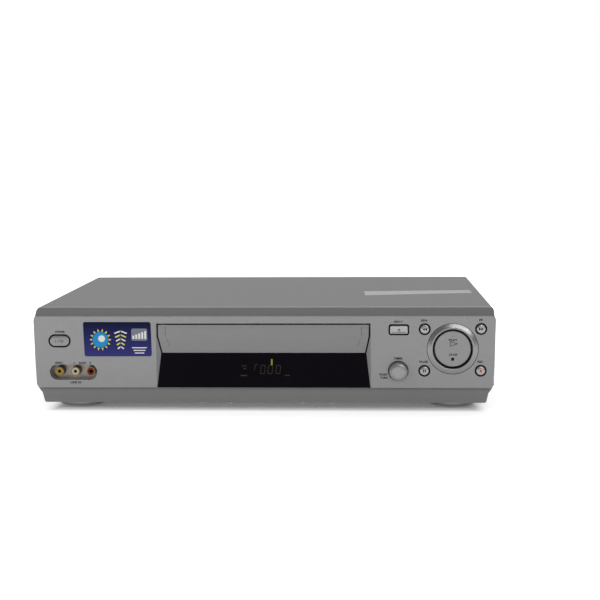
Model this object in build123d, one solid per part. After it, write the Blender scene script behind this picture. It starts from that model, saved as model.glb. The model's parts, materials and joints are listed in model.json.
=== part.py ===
from build123d import *
from math import atan2, cos, degrees, hypot, pi, radians, sin
import os

# A full-size video cassette recorder, in millimetres. +X is to the right as seen from the front,
# +Y to the rear, +Z up. The origin is at the middle of the bounding box, on the floor.
# Most places are given as a distance behind the face of the front panel. Heights are counted from
# a level a little above the floor, and every piece is lifted by that when it is written.

# --- driving dimensions ---
caseWidth = 430.0
floorLevel = -2.6        # the floor, as the heights here are counted
caseHeight = 95.5        # flat top of the cover
caseDepth = 290.0
dialProud = 7.0          # the timer dial stands out in front of the face
plugProud = 9.0          # the aerial connectors stand out behind the cover
faceY = (dialProud - plugProud - caseDepth) / 2
sheet = 1.0              # thickness of the steel cover, pan and rear panel
coverRadius = 4.2
coverFront = 2.7         # the cover starts behind the bezel's face plate
coverBottom = 22.0
lipHeight = 88.0         # top edge of the bezel
lipDepth = 11.0          # where the cover's front slope meets its flat top
panBottom = 5.0          # underside of the pan and the plinth
plate = 2.5              # thickness of the bezel's face
faceBottom = 19.8
plinthSetBack = 4.0
plinthLean = 2.0
recessHalf = 100.5       # half width of the waisted recess round door and window
waistZ = 52.4
waistDepth = 4.0
doorFlatZ = 69.0
doorTopZ = 79.5
doorThick = 2.2
sill = 0.3               # plastic left under the window
gap = 1.4                # dark gap round the door and the keys
hingeBack = 5.0
hingeZ = 84.5
cassetteWide = 187.0
cassetteDeep = 103.0
cassetteHigh = 25.0
wall = 1.0               # sheet of the cassette holder
holderFront = 37.0
holderBottom = 52.8
travelBack = 68.0
travelDown = 22.0
deckZ = 24.0
deckThick = 1.5
drumRadius = 31.0
drumBack = 246.0
drumTilt = 6.0
reelHalf = 46.25         # half the distance between the two reels
footX = 178.0
frontFootBack = 38.0
rearFootBack = 262.0

travel = hypot(travelBack, travelDown)
slope = degrees(atan2(travelDown, travelBack))


# --- shapes by their limits: x, distance behind the face, z ---
def block(x0, x1, d0, d1, z0, z1):
    middle = Location(((x0 + x1) / 2, faceY + (d0 + d1) / 2, (z0 + z1) / 2))
    return middle * Box(abs(x1 - x0), abs(d1 - d0), abs(z1 - z0))


def rod(start, end, radius):
    """A cylinder between two points given as (x, distance behind the face, z)."""
    first = Vector(start[0], faceY + start[1], start[2])
    last = Vector(end[0], faceY + end[1], end[2])
    along = last - first
    base = Plane(origin=first, z_dir=along)
    return extrude(base * Circle(radius), along.length)


def post(x, d, radius, z0, z1):
    return rod((x, d, z0), (x, d, z1), radius)


def tube(start, end, outer, inner):
    return rod(start, end, outer) - rod(start, end, inner)


def frontShape(points, d0, d1):
    """Extrudes an outline of (x, z) points from one distance behind the face to another."""
    start = Plane(origin=(0, faceY + d1, 0), x_dir=(1, 0, 0), z_dir=(0, -1, 0))
    return extrude(start * make_face(Polyline(*points, close=True)), d1 - d0)


def sideShape(points, x0, x1):
    """Extrudes an outline of (distance behind the face, z) points along x."""
    start = Plane(origin=(x0, faceY, 0), x_dir=(0, 1, 0), z_dir=(1, 0, 0))
    return extrude(start * make_face(Polyline(*points, close=True)), x1 - x0)


def topShape(points, z0, z1):
    """Extrudes an outline of (x, distance behind the face) points upwards."""
    start = Plane(origin=(0, faceY, z0))
    return extrude(start * make_face(Polyline(*points, close=True)), z1 - z0)


def frontSketch(sketch, x, z, d0, d1):
    """Extrudes a flat sketch, centred at (x, z) on the face, towards the rear."""
    start = Plane(origin=(x, faceY + d1, z), x_dir=(1, 0, 0), z_dir=(0, -1, 0))
    return extrude(start * sketch, d1 - d0)


def joined(shapes):
    result = shapes[0]
    for shape in shapes[1:]:
        result = result + shape
    return result


def cutBy(shape, tools):
    for tool in tools:
        shape = shape - tool
    return shape


def mirrored(shape):
    return shape + mirror(shape, about=Plane.YZ)


def group(shapes):
    """Several separate solids that share a node."""
    solids = []
    for shape in shapes:
        solids.extend(shape.solids())
    return Compound(children=solids)


def gearOutline(teeth, module, phase=0.0):
    """A spur gear's outline: straight-sided teeth, slimmer than the gaps between them."""
    pitch = teeth * module / 2
    tip = pitch + 0.9 * module
    root = pitch - 1.15 * module
    step = 360 / teeth
    corners = []
    for tooth in range(teeth):
        middle = phase + tooth * step
        for radius, turn in ((root, -0.33), (tip, -0.11), (tip, 0.11), (root, 0.33)):
            angle = radians(middle + turn * step)
            corners.append((radius * cos(angle), radius * sin(angle)))
    return make_face(Polyline(*corners, close=True))


def gear(x, d, z0, z1, teeth, module, phase=0.0):
    start = Plane(origin=(x, faceY + d, z0))
    return extrude(start * gearOutline(teeth, module, phase), z1 - z0)


def tilted(shape, d, z, angle):
    """Turns a shape about a line along x."""
    return shape.rotate(Axis((0, faceY + d, z), (1, 0, 0)), angle)


parts = {}


# --- casing ---
def coverBlock(inset, front, bottom):
    half = caseWidth / 2 - inset
    top = caseHeight - inset
    body = block(-half, half, front, caseDepth + inset, bottom, top)
    longEdges = body.edges().filter_by(Axis.Y).group_by(Axis.Z)[-1]
    body = fillet(longEdges, coverRadius - inset)
    run = lipDepth - coverFront
    rise = caseHeight - lipHeight
    drop = inset * hypot(run, rise) / run
    slopeCut = sideShape(
        [
            (coverFront - 20, lipHeight - drop - 20 * rise / run),
            (lipDepth + 20, caseHeight - drop + 20 * rise / run),
            (coverFront - 20, caseHeight + 60),
        ],
        -caseWidth,
        caseWidth,
    )
    return body - slopeCut


def topCover():
    return coverBlock(0, coverFront, coverBottom) - coverBlock(sheet, coverFront - 5, coverBottom - 5)


coverScrews = [(-200, 80), (200, 80), (-200, 34), (200, 34)]
parts["top_cover"] = topCover()

# The pan's section follows the plinth's outline up to the cover's lower edge.
panOuter = [(206.6, panBottom), (209.2, 14.8), (213.4, 20.6), (213.4, 34.0)]
panInner = [(212.4, 34.0), (212.4, 20.9), (208.3, 15.2), (205.9, panBottom + sheet)]
panFront = 14.2
panRear = 288.0


def bottomChassis():
    right = panOuter + panInner
    left = [(-x, z) for x, z in reversed(right)]
    pan = frontShape(right + left, panFront, panRear)
    flange = block(-205, 205, panFront, panFront + sheet, panBottom, 19)
    vents = [
        block(x, x + 22, d, d + 3, panBottom - 2, panBottom + 4)
        for x in range(-190, -120, 30)
        for d in range(150, 240, 12)
    ]
    standoffs = [post(x, d, 3.2, panBottom + 0.5, 12.4) for x in (-100, 0, 96) for d in (120, 268)]
    studs = [post(x, d, 3.2, panBottom + 0.5, 16.4) for x in (-196, -124) for d in (100, 236)]
    tabs = [
        block(x - 1.5, x + 1.5, 5.2, panFront + 3, panBottom - 0.8, panBottom + 0.2)
        - block(x - 2, x + 2, 0, panFront, panBottom, panBottom + 1)
        for x in (-59.1, -31.6, 36.9, 64.3)
    ]
    return cutBy(joined([pan, flange] + standoffs + studs + tabs), vents)


parts["bottom_chassis"] = bottomChassis()

rearFront = 286.8
phonoX = [118.0, 133.0, 148.0]
phonoZ = [32.0, 50.0]
aerialX = 178.0
aerialZ = [36.0, 62.0]
inletX = -168.0
inletZ = 36.0


def rearPanel():
    outline = [(205.5, panBottom + sheet), (207.8, 15.5), (212.2, 21.3), (212.2, 91.0)]
    outline += [(211.4, 93.4), (209.6, 94.3)]
    panel = frontShape(outline + [(-x, z) for x, z in reversed(outline)], rearFront, rearFront + sheet)
    holes = [rod((x, 280, z), (x, 300, z), 5.2) for x in phonoX for z in phonoZ]
    holes += [rod((aerialX, 280, z), (aerialX, 300, z), 5.2) for z in aerialZ]
    holes += [block(inletX - 10.2, inletX + 10.2, 280, 300, inletZ - 7.2, inletZ + 7.2)]
    holes += [block(x, x + 2.4, 280, 300, 60, 84) for x in range(-190, -130, 6)]
    return cutBy(panel, holes)


parts["rear_panel"] = rearPanel()
parts["cover_screws"] = group(
    [
        rod((x, rearFront + sheet, z), (x, rearFront + sheet + 1.8, z), 3.2)
        - block(x - 2.2, x + 2.2, rearFront + 2.0, rearFront + 4, z - 0.35, z + 0.35)
        - block(x - 0.35, x + 0.35, rearFront + 2.0, rearFront + 4, z - 2.2, z + 2.2)
        for x, z in coverScrews
    ]
)


# --- front panel ---
def recessDepth(z):
    """Depth of the door's and the window's face behind the panel's face."""
    if z >= doorFlatZ:
        return 0.5
    if z >= waistZ:
        return 0.5 + (waistDepth - 0.5) * (doorFlatZ - z) / (doorFlatZ - waistZ)
    return 0.3 + (waistDepth - 0.3) * (z - faceBottom) / (waistZ - faceBottom)


def waistHalf(z):
    """Half width of the recess where the cheek meets the face of door or window."""
    return recessHalf - recessDepth(z)


def stadium(width, height):
    return SlotOverall(width, height)


powerX, powerZ, powerWide, powerHigh = -191.7, 64.5, 21.2, 12.6
ejectX, ejectZ, ejectWide, ejectHigh = 126.5, 75.0, 19.2, 10.4
smallKeys = {
    "rewind_button": (150.4, 75.5),
    "fast_forward_button": (202.5, 75.7),
    "pause_button": (150.2, 36.4),
    "record_button": (202.4, 36.5),
}
smallHole = 5.6
ringX, ringZ, ringOuter, ringInner, keyRadius = 176.4, 57.0, 23.7, 18.6, 16.9
dialX, dialZ, dialRadius = 126.0, 36.2, 8.8
jackX = [-193.5, -178.4, -163.5]
jackZ = 34.8
cupX, cupWide, cupHigh, cupDepth = -179.2, 45.0, 14.8, 12.0
skirt = 14.0             # depth of the bezel's rim


def frontPanel():
    faceLine = [(212.6, faceBottom), (214.6, 24.6), (215.3, 42.0), (216.0, 72.0)]
    faceLine += [(216.2, 83.0), (215.9, 85.6), (215.0, 87.3), (213.4, lipHeight)]
    face = frontShape(faceLine + [(-x, z) for x, z in reversed(faceLine)], 0, plate)
    frontEdges = face.edges().group_by(Axis.Y)[0]
    face = chamfer(frontEdges, 0.5)
    rimLine = [(207.6, panBottom), (208.6, 6.2), (210.4, 14.8), (211.3, 15.6), (213.0, 18.4), (214.2, 21.4)]
    rimLine += [(213.4, coverBottom - 0.2), (213.4, 85.0), (212.6, 85.8)]
    rim = frontShape(rimLine + [(-x, z) for x, z in reversed(rimLine)], plate, skirt)
    step = sideShape(
        [
            (0, faceBottom),
            (plinthSetBack, faceBottom),
            (plinthSetBack + plinthLean, panBottom - 1),
            (0, panBottom - 1),
        ],
        -caseWidth,
        caseWidth,
    )
    innerLine = [(206.2, panBottom + 2), (208.2, 16.2), (210.8, 21.0), (211.3, 26.0), (211.3, 84.4)]
    hollow = frontShape(innerLine + [(-x, z) for x, z in reversed(innerLine)], 0, skirt + 1)
    hollow = hollow & sideShape(
        [
            (plate, 84.4),
            (plate, faceBottom),
            (plinthSetBack + 2, faceBottom),
            (plinthSetBack + plinthLean + 2, panBottom + 2),
            (skirt + 1, panBottom + 2),
            (skirt + 1, 84.4),
        ],
        -caseWidth,
        caseWidth,
    )
    frame = block(-103.5, 103.5, 0.6, 8.5, faceBottom, 83.2) - block(-101.6, 101.6, 0, 9, 22.0, 90)
    cheeks = mirrored(block(95.6, 102.5, 0.6, 7.0, faceBottom, 83.2))
    shelf = block(-102, 102, 7.4, 9.4, 47.0, 51.0)
    brackets = mirrored(
        block(95.6, 97.6, plate - 0.5, hingeBack, hingeZ - 3.0, hingeZ + 1.8)
        + rod((95.6, hingeBack, hingeZ), (97.6, hingeBack, hingeZ), 3.0)
    )
    doorRoom = block(-105, 105, plate, skirt + 1, 83.2, lipHeight)
    body = joined([face, rim - step - hollow - doorRoom, frame, cheeks, shelf])
    # The recess: a shallow V seen from the side, with upright cheeks at 45 degrees.
    recess = sideShape(
        [
            (-1, doorTopZ + gap),
            (recessDepth(80), doorTopZ + gap),
            (recessDepth(80), doorFlatZ),
            (waistDepth, waistZ),
            (0.3, faceBottom),
            (-1, faceBottom),
        ],
        -recessHalf,
        recessHalf,
    )
    wedge = topShape(
        [(recessHalf + 1, -1), (recessHalf - 8, 8), (-recessHalf + 8, 8), (-recessHalf - 1, -1)], 0, 120
    )
    levels = [doorTopZ + gap, doorFlatZ, waistZ, faceBottom + sill]
    through = [(waistHalf(z) - 0.05, z) for z in levels]
    mouth = frontShape(through + [(-x, z) for x, z in reversed(through)], -1, 12)
    shelfBack = block(-102, 102, 7.2, 9.6, 47.0, 51.0)
    holes = [
        frontSketch(stadium(powerWide, powerHigh), powerX, powerZ, -1, 6),
        frontSketch(RectangleRounded(ejectWide, ejectHigh, 2.4), ejectX, ejectZ, -1, 6),
        frontSketch(stadium(cupWide, cupHigh), cupX, jackZ, -1, 6),
        rod((ringX, -1, ringZ), (ringX, 6, ringZ), ringOuter + 0.15),
        rod((dialX, -1, dialZ), (dialX, 6, dialZ), dialRadius + 0.7),
    ]
    holes += [rod((x, -1, z), (x, 6, z), smallHole) for x, z in smallKeys.values()]
    body = cutBy(body, [recess & wedge, mouth - shelfBack] + holes)
    pins = rod((-99, hingeBack, hingeZ), (99, hingeBack, hingeZ), 1.26)
    return body + (brackets - pins)


parts["front_panel"] = frontPanel()

# --- cassette door and display window ---
def doorPanel():
    top, bottom = doorTopZ, waistZ + 0.3
    skin = sideShape(
        [
            (recessDepth(top), top),
            (recessDepth(doorFlatZ), doorFlatZ),
            (recessDepth(bottom), bottom),
            (recessDepth(bottom) + doorThick, bottom),
            (recessDepth(doorFlatZ) + doorThick, doorFlatZ),
            (recessDepth(top) + doorThick, top),
        ],
        -recessHalf,
        recessHalf,
    )
    edge = [(waistHalf(z) - gap - 0.1, z) for z in (top, doorFlatZ, bottom - 0.1)]
    skin = skin & frontShape(edge + [(-x, z) for x, z in reversed(edge)], -1, 12)
    arm = sideShape([(2.6, 72.5), (4.6, 72.5), (hingeBack + 2, hingeZ), (hingeBack - 2, hingeZ - 0.2)], 93.0, 95.0)
    arm = arm + rod((93.0, hingeBack, hingeZ), (95.0, hingeBack, hingeZ), 2.0)
    pin = rod((93.0, hingeBack, hingeZ), (98.4, hingeBack, hingeZ), 1.2)
    return skin + mirrored(arm + pin)


parts["cassette_door"] = doorPanel()


def displayWindow():
    top, bottom = waistZ - 0.3, faceBottom + sill + 0.1
    pane = sideShape(
        [
            (recessDepth(top), top),
            (recessDepth(bottom), bottom),
            (recessDepth(bottom) + 2, bottom),
            (recessDepth(top) + 2, top),
        ],
        -recessHalf,
        recessHalf,
    )
    edge = [(waistHalf(top) - 0.25, top), (waistHalf(bottom) - 0.25, bottom)]
    return pane & frontShape(edge + [(-x, z) for x, z in reversed(edge)], -1, 12)


parts["display_window"] = displayWindow()
parts["display_tube"] = fillet(block(-42, 42, 9.8, 15.2, 25.5, 46.0).edges().filter_by(Axis.X), 1.2)
parts["door_spring"] = tube((-92.4, hingeBack, hingeZ), (-88.0, hingeBack, hingeZ), 2.0, 1.3)
parts["door_spring"] += block(-90.0, -89.2, plate, hingeBack, hingeZ + 1.4, hingeZ + 2.0)


# --- keys, dial and front jacks ---
def turned(points, x, z):
    """Turns an outline of (radius, distance behind the face) about an axis along Y."""
    start = Plane(origin=(x, faceY, z))
    outline = start * make_face(Polyline(*points, close=True))
    return revolve(outline, Axis((x, faceY, z), (0, 1, 0)))


keyProud = 0.8
keyBack = 4.0
switchFront = 8.6
keyBoard = 12.6
jackBoard = 17.0
boardThick = 1.6


def key(sketch, x, z, stemEnd):
    cap = frontSketch(sketch, x, z, -keyProud, keyBack)
    cap = chamfer(cap.edges().group_by(Axis.Y)[0], 0.5)
    return cap + rod((x, keyBack - 0.5, z), (x, stemEnd, z), 1.6)


parts["power_button"] = key(stadium(powerWide - 2 * gap, powerHigh - 2 * gap), powerX, powerZ, 11.8)
ejectSketch = RectangleRounded(ejectWide - 2 * gap, ejectHigh - 2 * gap, 1.5)
parts["eject_button"] = key(ejectSketch, ejectX, ejectZ, switchFront - 1.2)
for name, (x, z) in smallKeys.items():
    parts[name] = key(Circle(smallHole - gap), x, z, switchFront - 1.2)

keyPivot = 7.0
rockerReach = 11.0
playStop = turned([(0, -0.3), (keyRadius - 0.6, -0.3), (keyRadius, 0.3), (keyRadius, 3.0), (0, 3.0)], ringX, ringZ)
playStop += block(ringX - 6, ringX + 6, 2.5, keyPivot, ringZ - 1.2, ringZ + 1.2)
playStop += rod((ringX - 9, keyPivot, ringZ), (ringX + 9, keyPivot, ringZ), 1.2)
for side in (-1, 1):
    z = ringZ + side * rockerReach
    playStop += rod((ringX, 2.5, z), (ringX, switchFront - 0.9, z), 1.5)
playStop -= rod((ringX, -1, ringZ + 14.6), (ringX, 0.1, ringZ + 14.6), 0.6)
parts["play_stop_key"] = playStop
parts["ring_trim"] = turned(
    [
        (ringOuter, 0.2),
        (ringOuter, plate),
        (ringInner, plate),
        (ringInner, -0.9),
        (ringInner + 0.6, -1.2),
        (ringInner + 1.6, -1.1),
    ],
    ringX,
    ringZ,
)

stemRadius = 3.0
knob = turned(
    [
        (0, -dialProud),
        (dialRadius - 2.2, -dialProud),
        (dialRadius - 1.2, -dialProud + 0.4),
        (dialRadius - 0.5, -dialProud + 1.2),
        (dialRadius - 0.1, -dialProud + 2.4),
        (dialRadius, -dialProud + 4.0),
        (dialRadius, 3.0),
        (stemRadius + 0.05, 3.0),
        (stemRadius + 0.05, -4.0),
        (0, -4.0),
    ],
    dialX,
    dialZ,
)
parts["timer_dial_knob"] = knob
parts["timer_dial_stem"] = rod((dialX, -3.8, dialZ), (dialX, 11.5, dialZ), stemRadius)


def jackCup():
    cup = frontSketch(stadium(cupWide + 2.4, cupHigh + 2.4), cupX, jackZ, plate, cupDepth + 1.2)
    cup -= frontSketch(stadium(cupWide, cupHigh), cupX, jackZ, 0, cupDepth)
    return cutBy(cup, [rod((x, cupDepth - 1, jackZ), (x, cupDepth + 2, jackZ), 4.3) for x in jackX])


parts["jack_cup"] = jackCup()
phonoOuter, phonoInner, phonoBore = 4.15, 3.5, 1.6
phonoNeck = 3.95         # the shell behind the shoulder that stops a plug
phonoFree = 7.0          # length that a plug's skirt covers
phonoPlaces = [(x, 3.6, jackBoard, jackZ, 1) for x in jackX]
rearTip = 295.5
phonoPlaces += [(x, 281.0, rearTip, z, -1) for z in phonoZ for x in phonoX]


def phono(x, d0, d1, z, mouth):
    """The metal shell and the coloured insert of one phono jack; the mouth is at d0 or at d1."""
    tip, tail = (d0, d1) if mouth > 0 else (d1, d0)
    shoulder = tip + mouth * phonoFree
    shell = rod((x, tip, z), (x, shoulder, z), phonoOuter) + rod((x, tip, z), (x, tail, z), phonoNeck)
    shell -= rod((x, d0 - 1, z), (x, d1 + 1, z), phonoInner)
    inset = tip + mouth * 0.4
    insert = rod((x, inset, z), (x, tail, z), phonoInner)
    insert -= rod((x, inset - mouth, z), (x, tail - mouth * 1.5, z), phonoBore)
    return shell, insert


shells, inserts = [], {"yellow": [], "white": [], "red": []}
for index, place in enumerate(phonoPlaces):
    shell, insert = phono(*place)
    shells.append(shell)
    inserts[["yellow", "white", "red"][index % 3]].append(insert)
parts["phono_shells"] = group(shells)
for colour, solids in inserts.items():
    parts["phono_" + colour] = group(solids)


def frontBoards():
    keys = block(108, 210, keyBoard, keyBoard + boardThick, 24, 84)
    ears = [
        block(ringX + s * 8.2 - 0.8, ringX + s * 8.2 + 0.8, keyPivot - 2.4, keyBoard + 0.1, ringZ - 2.4, ringZ + 2.4)
        for s in (-1, 1)
    ]
    keys = joined([keys] + ears) - rod((ringX - 12, keyPivot, ringZ), (ringX + 12, keyPivot, ringZ), 1.26)
    display = block(-60, 84, 16.0, 16.0 + boardThick, 24, 49)
    jacks = block(-206, -154, jackBoard, jackBoard + boardThick, 24, 78)
    return group([keys, display, jacks])


parts["front_boards"] = frontBoards()


def tactSwitch(x, z, front, board):
    return block(x - 3, x + 3, front + 0.9, board, z - 3, z + 3) + rod((x, front, z), (x, front + 1, z), 1.7)


switchPlaces = list(smallKeys.values()) + [(ejectX, ejectZ)]
switchPlaces += [(ringX, ringZ - rockerReach), (ringX, ringZ + rockerReach)]
encoder = block(dialX - 6.5, dialX + 6.5, 7.2, keyBoard, dialZ - 6.5, dialZ + 6.5)
encoder -= rod((dialX, 7, dialZ), (dialX, 12.4, dialZ), stemRadius + 0.05)
switches = [tactSwitch(x, z, switchFront, keyBoard) for x, z in switchPlaces]
parts["key_switches"] = group(switches + [encoder, tactSwitch(powerX, powerZ, 13.0, jackBoard)])

# --- feet ---
footRadius = 25.2
footTall = panBottom - floorLevel
padRadius = 13.0
bowl = [(0, 1.0), (17.0, 1.0), (20.2, 1.5), (23.0, 2.7), (24.8, 4.6), (footRadius, footTall), (0, footTall)]


def bowlFoot(x, d):
    start = Plane(origin=(x, faceY + d, floorLevel), x_dir=(1, 0, 0), z_dir=(0, -1, 0))
    outline = start * make_face(Polyline(*bowl, close=True))
    return revolve(outline, Axis((x, faceY + d, 0), (0, 0, 1)))


sides = (-1, 1)
parts["front_feet"] = group([bowlFoot(s * footX, frontFootBack) for s in sides])
parts["rear_feet"] = group([post(s * footX, rearFootBack, 9.0, floorLevel, panBottom) for s in sides])
parts["foot_pads"] = group([post(s * footX, frontFootBack, padRadius, floorLevel, floorLevel + 1) for s in sides])


# --- rear connectors and electronics ---
def aerialConnector(z):
    tip = caseDepth + plugProud
    barrel = rod((aerialX, 284, z), (aerialX, tip, z), 4.75)
    collar = extrude(
        Plane(origin=(aerialX, faceY + rearFront + 3.2, z), z_dir=(0, -1, 0)) * RegularPolygon(6.4, 6), 2.2
    )
    return barrel + collar - rod((aerialX, tip - 8, z), (aerialX, tip + 1, z), 0.6)


parts["aerial_connectors"] = group([aerialConnector(z) for z in aerialZ])
inlet = block(inletX - 10, inletX + 10, 270, rearFront + sheet + 1.0, inletZ - 7, inletZ + 7)
inlet -= frontSketch(stadium(15.2, 8.4), inletX, inletZ, 276, 300)
for s in sides:
    inlet += rod((inletX + s * 4.3, 275, inletZ), (inletX + s * 4.3, 285.5, inletZ), 1.2)
parts["mains_inlet"] = inlet

boardZ = 12.4
mainBoard = block(-108, 200, 112, 284, boardZ, boardZ + boardThick)
parts["tuner_box"] = block(159, 199, 226, 284, boardZ + boardThick, 74)
chipPlaces = [(-60, 130, 24, 24), (-20, 122, 14, 20), (120, 150, 30, 30), (160, 200, 20, 30), (130, 240, 26, 18)]
chips = [
    block(x - w / 2, x + w / 2, d - h / 2, d + h / 2, boardZ + boardThick, boardZ + boardThick + 2.4)
    for x, d, w, h in chipPlaces
]
chips += [post(112 + 14 * i, 260, 5, boardZ + boardThick, boardZ + 16) for i in range(3)]
chips += [block(min(phonoX) - 7, max(phonoX) + 7, 276, 280.8, boardZ + boardThick, 57)]
parts["board_parts"] = group(chips)
supplyZ = 16.4
supplyBoard = block(-204, -112, 92, 262, supplyZ, supplyZ + boardThick)
parts["circuit_boards"] = group([mainBoard, supplyBoard])
supplyTop = supplyZ + boardThick
supplyParts = [
    block(-186, -146, 150, 186, supplyTop, supplyTop + 34),
    block(-140, -137, 104, 164, supplyTop, supplyTop + 42),
    post(-170, 124, 13, supplyTop, supplyTop + 38),
    block(-200, -176, 206, 232, supplyTop, supplyTop + 20),
]
supplyParts += [post(-132, 182 + 16 * i, 5.2, supplyTop, supplyTop + 20) for i in range(4)]
parts["power_supply_parts"] = group(supplyParts)

# --- cassette loader ---
plateIn, plateOut = 98.5, 99.7
slideStart = [(50.0, 68.0), (122.0, 68.0)]
pinRadius = 2.5
pinionX0, pinionX1 = 101.2, 104.2
pinionTeeth = 20
contact = (112.0, 46.0)


def diagonalSlot(d, z, x0, x1):
    """The path of one holder pin through a side plate, with clearance round the pin."""
    radius = pinRadius + 0.3
    ends = [(d, z), (d + travelBack, z - travelDown)]
    up = (sin(radians(slope)) * radius, cos(radians(slope)) * radius)
    band = [(ends[0][0] + up[0], ends[0][1] + up[1]), (ends[1][0] + up[0], ends[1][1] + up[1])]
    band += [(ends[1][0] - up[0], ends[1][1] - up[1]), (ends[0][0] - up[0], ends[0][1] - up[1])]
    return sideShape(band, x0, x1) + rod((x0, *ends[0]), (x1, *ends[0]), radius) + rod((x0, *ends[1]), (x1, *ends[1]), radius)


def sidePlate():
    outline = [(40, panBottom + sheet), (58, panBottom + sheet), (58, 26), (112, 26), (112, deckZ), (278, deckZ)]
    outline += [(278, 30), (222, 40), (206, 84), (40, 84)]
    web = sideShape(outline, plateIn, plateOut)
    return cutBy(web, [diagonalSlot(d, z, plateIn - 1, plateOut + 1) for d, z in slideStart])


pinionPlace = (
    contact[0] - pinionTeeth / 2 * sin(radians(slope)),
    contact[1] - pinionTeeth / 2 * cos(radians(slope)),
)
rightPlate = sidePlate()
leftPlate = mirror(rightPlate, about=Plane.YZ)
rightPlate -= rod((90, *pinionPlace), (110, *pinionPlace), 2.06)
parts["loader_side_plates"] = group([leftPlate, rightPlate])


def cassetteHolder():
    half = cassetteWide / 2 + 0.7
    outer = half + wall
    top = holderBottom + wall + cassetteHigh + 1.2
    back = holderFront + cassetteDeep + 1.0
    shape = block(-outer, outer, holderFront, back, holderBottom, top + wall)
    shape -= block(-half, half, holderFront - 1, back + 1, holderBottom + wall, top)
    shape -= block(-82, 82, holderFront - 1, back + 1, holderBottom - 1, holderBottom + wall + 0.1)
    windows = [block(x - 18, x + 18, holderFront + 24, back - 14, top - 0.5, top + 2) for x in (-58, 0, 58)]
    return cutBy(shape, windows)


parts["cassette_holder"] = cassetteHolder()


def holderRack():
    """The pins that ride in the slots, and the rack on the right-hand pair."""
    wallOut = cassetteWide / 2 + 0.7 + wall
    module = 1.0
    rise = sin(radians(slope))
    run = cos(radians(slope))

    def onRack(along, above):
        return (contact[0] + along * run + above * rise, contact[1] - along * rise + above * run)

    line = []
    pitch = pi * module
    for tooth in range(-24, 2):
        for offset, above in ((-0.33, 1.15), (-0.11, -0.9), (0.11, -0.9), (0.33, 1.15)):
            line.append(onRack((tooth + offset) * pitch, above * module))
    line.append((127.0, line[-1][1] + 1))
    line += [(127.0, 72.0), (44.0, 72.0)]
    rack = sideShape(line, pinionX0 + 0.1, pinionX1 - 0.1)
    right = [rod((wallOut, d, z), (pinionX0 + 0.1, d, z), pinRadius) for d, z in slideStart]
    left = [rod((-plateOut - 1.2, d, z), (-wallOut, d, z), pinRadius) for d, z in slideStart]
    return group([joined([rack] + right)] + left)


parts["holder_rack"] = holderRack()


def loaderPinion():
    flat = Plane(origin=(pinionX0 + 0.4, faceY + pinionPlace[0], pinionPlace[1]), x_dir=(0, 1, 0), z_dir=(1, 0, 0))
    facing = 90 - slope + 180 / pinionTeeth
    wheel = extrude(flat * gearOutline(pinionTeeth, 1.0, facing), pinionX1 - pinionX0 - 0.5)
    return wheel + rod((plateIn - 1, *pinionPlace), (pinionX1 + 3.5, *pinionPlace), 2.0)


parts["loader_pinion"] = loaderPinion()
motorCan = rod((pinionX1 + 1.5, *pinionPlace), (pinionX1 + 26, *pinionPlace), 9.0)
motorCan -= rod((pinionX1 + 1, *pinionPlace), (pinionX1 + 4.5, *pinionPlace), 2.06)
motorCan += block(pinionX1 + 6, pinionX1 + 20, pinionPlace[0] - 5, pinionPlace[0] - 2, panBottom + sheet, pinionPlace[1] - 7)
parts["front_loading_motor"] = motorCan

# --- tape deck ---
deckTop = deckZ + deckThick
capstan = (60.0, 210.0)
clutch = (0.0, 165.0)
reelBack = 150.0
cam = (-76.0, 255.0)
shaftRadius = 1.5


def deckPlate():
    deck = block(-plateIn, plateIn, 106, 282, deckZ, deckTop)
    deck -= post(*capstan, shaftRadius + 0.4, deckZ - 1, deckTop + 1)
    deck -= post(*clutch, 2.5, deckZ - 1, deckTop + 1)
    shafts = [(-reelHalf, reelBack, 2.0, 32), (reelHalf, reelBack, 2.0, 32), (*cam, 2.0, 33.0)]
    shafts += [(84, 222, 2.0, 31), (-84, 226, 1.5, 30)]
    return joined([deck] + [post(x, d, r, deckTop - 0.5, z) for x, d, r, z in shafts])


parts["deck_plate"] = deckPlate()


def reelTable(x):
    table = gear(x, reelBack, 27.0, 29.6, 52, 1.0) + post(x, reelBack, 16, 29.4, 31.0)
    spindle = post(x, reelBack, 7.6, 30.5, 41.0) + post(x, reelBack, 4.6, 40.5, 45.0)
    for turn in range(3):
        fin = block(x - 0.8, x + 0.8, reelBack + 6, reelBack + 9.6, 31.0, 40.0)
        spindle += fin.rotate(Axis((x, faceY + reelBack, 0), (0, 0, 1)), 120 * turn)
    return table + spindle - post(x, reelBack, 2.05, 26, 34)


parts["supply_reel"] = reelTable(-reelHalf)
parts["takeup_reel"] = reelTable(reelHalf)
parts["idler_gear"] = gear(0, 147, 27.0, 29.6, 24, 1.0) - post(0, 147, 1.56, 26, 31)
arm = topShape([(-3.5, 165), (3.5, 165), (2.5, 147), (-2.5, 147)], 30.4, 31.6)
arm += post(0, 165, 3.5, 30.4, 31.6) + post(0, 147, 2.5, 30.4, 31.6) + post(0, 147, 1.5, 26.4, 31.0)
parts["idler_arm"] = arm - post(*clutch, 1.56, 29, 33)
clutchWheel = post(*clutch, 13.0, 17.4, 20.4) + post(*clutch, 2.0, 20, 27.0) + post(*clutch, 1.5, 26, 32.4)
parts["clutch_pulley"] = clutchWheel + gear(*clutch, 26.8, 29.6, 8, 1.0)


def beltLoop(offset, z0, z1):
    circles = [
        Location((0, faceY, z0)) * Location((*capstan, 0)) * CenterArc((0, 0), 9.0 + offset, 0, 360),
        Location((0, faceY, z0)) * Location((*clutch, 0)) * CenterArc((0, 0), 13.0 + offset, 0, 360),
    ]
    return extrude(make_hull(circles), z1 - z0)


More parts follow.
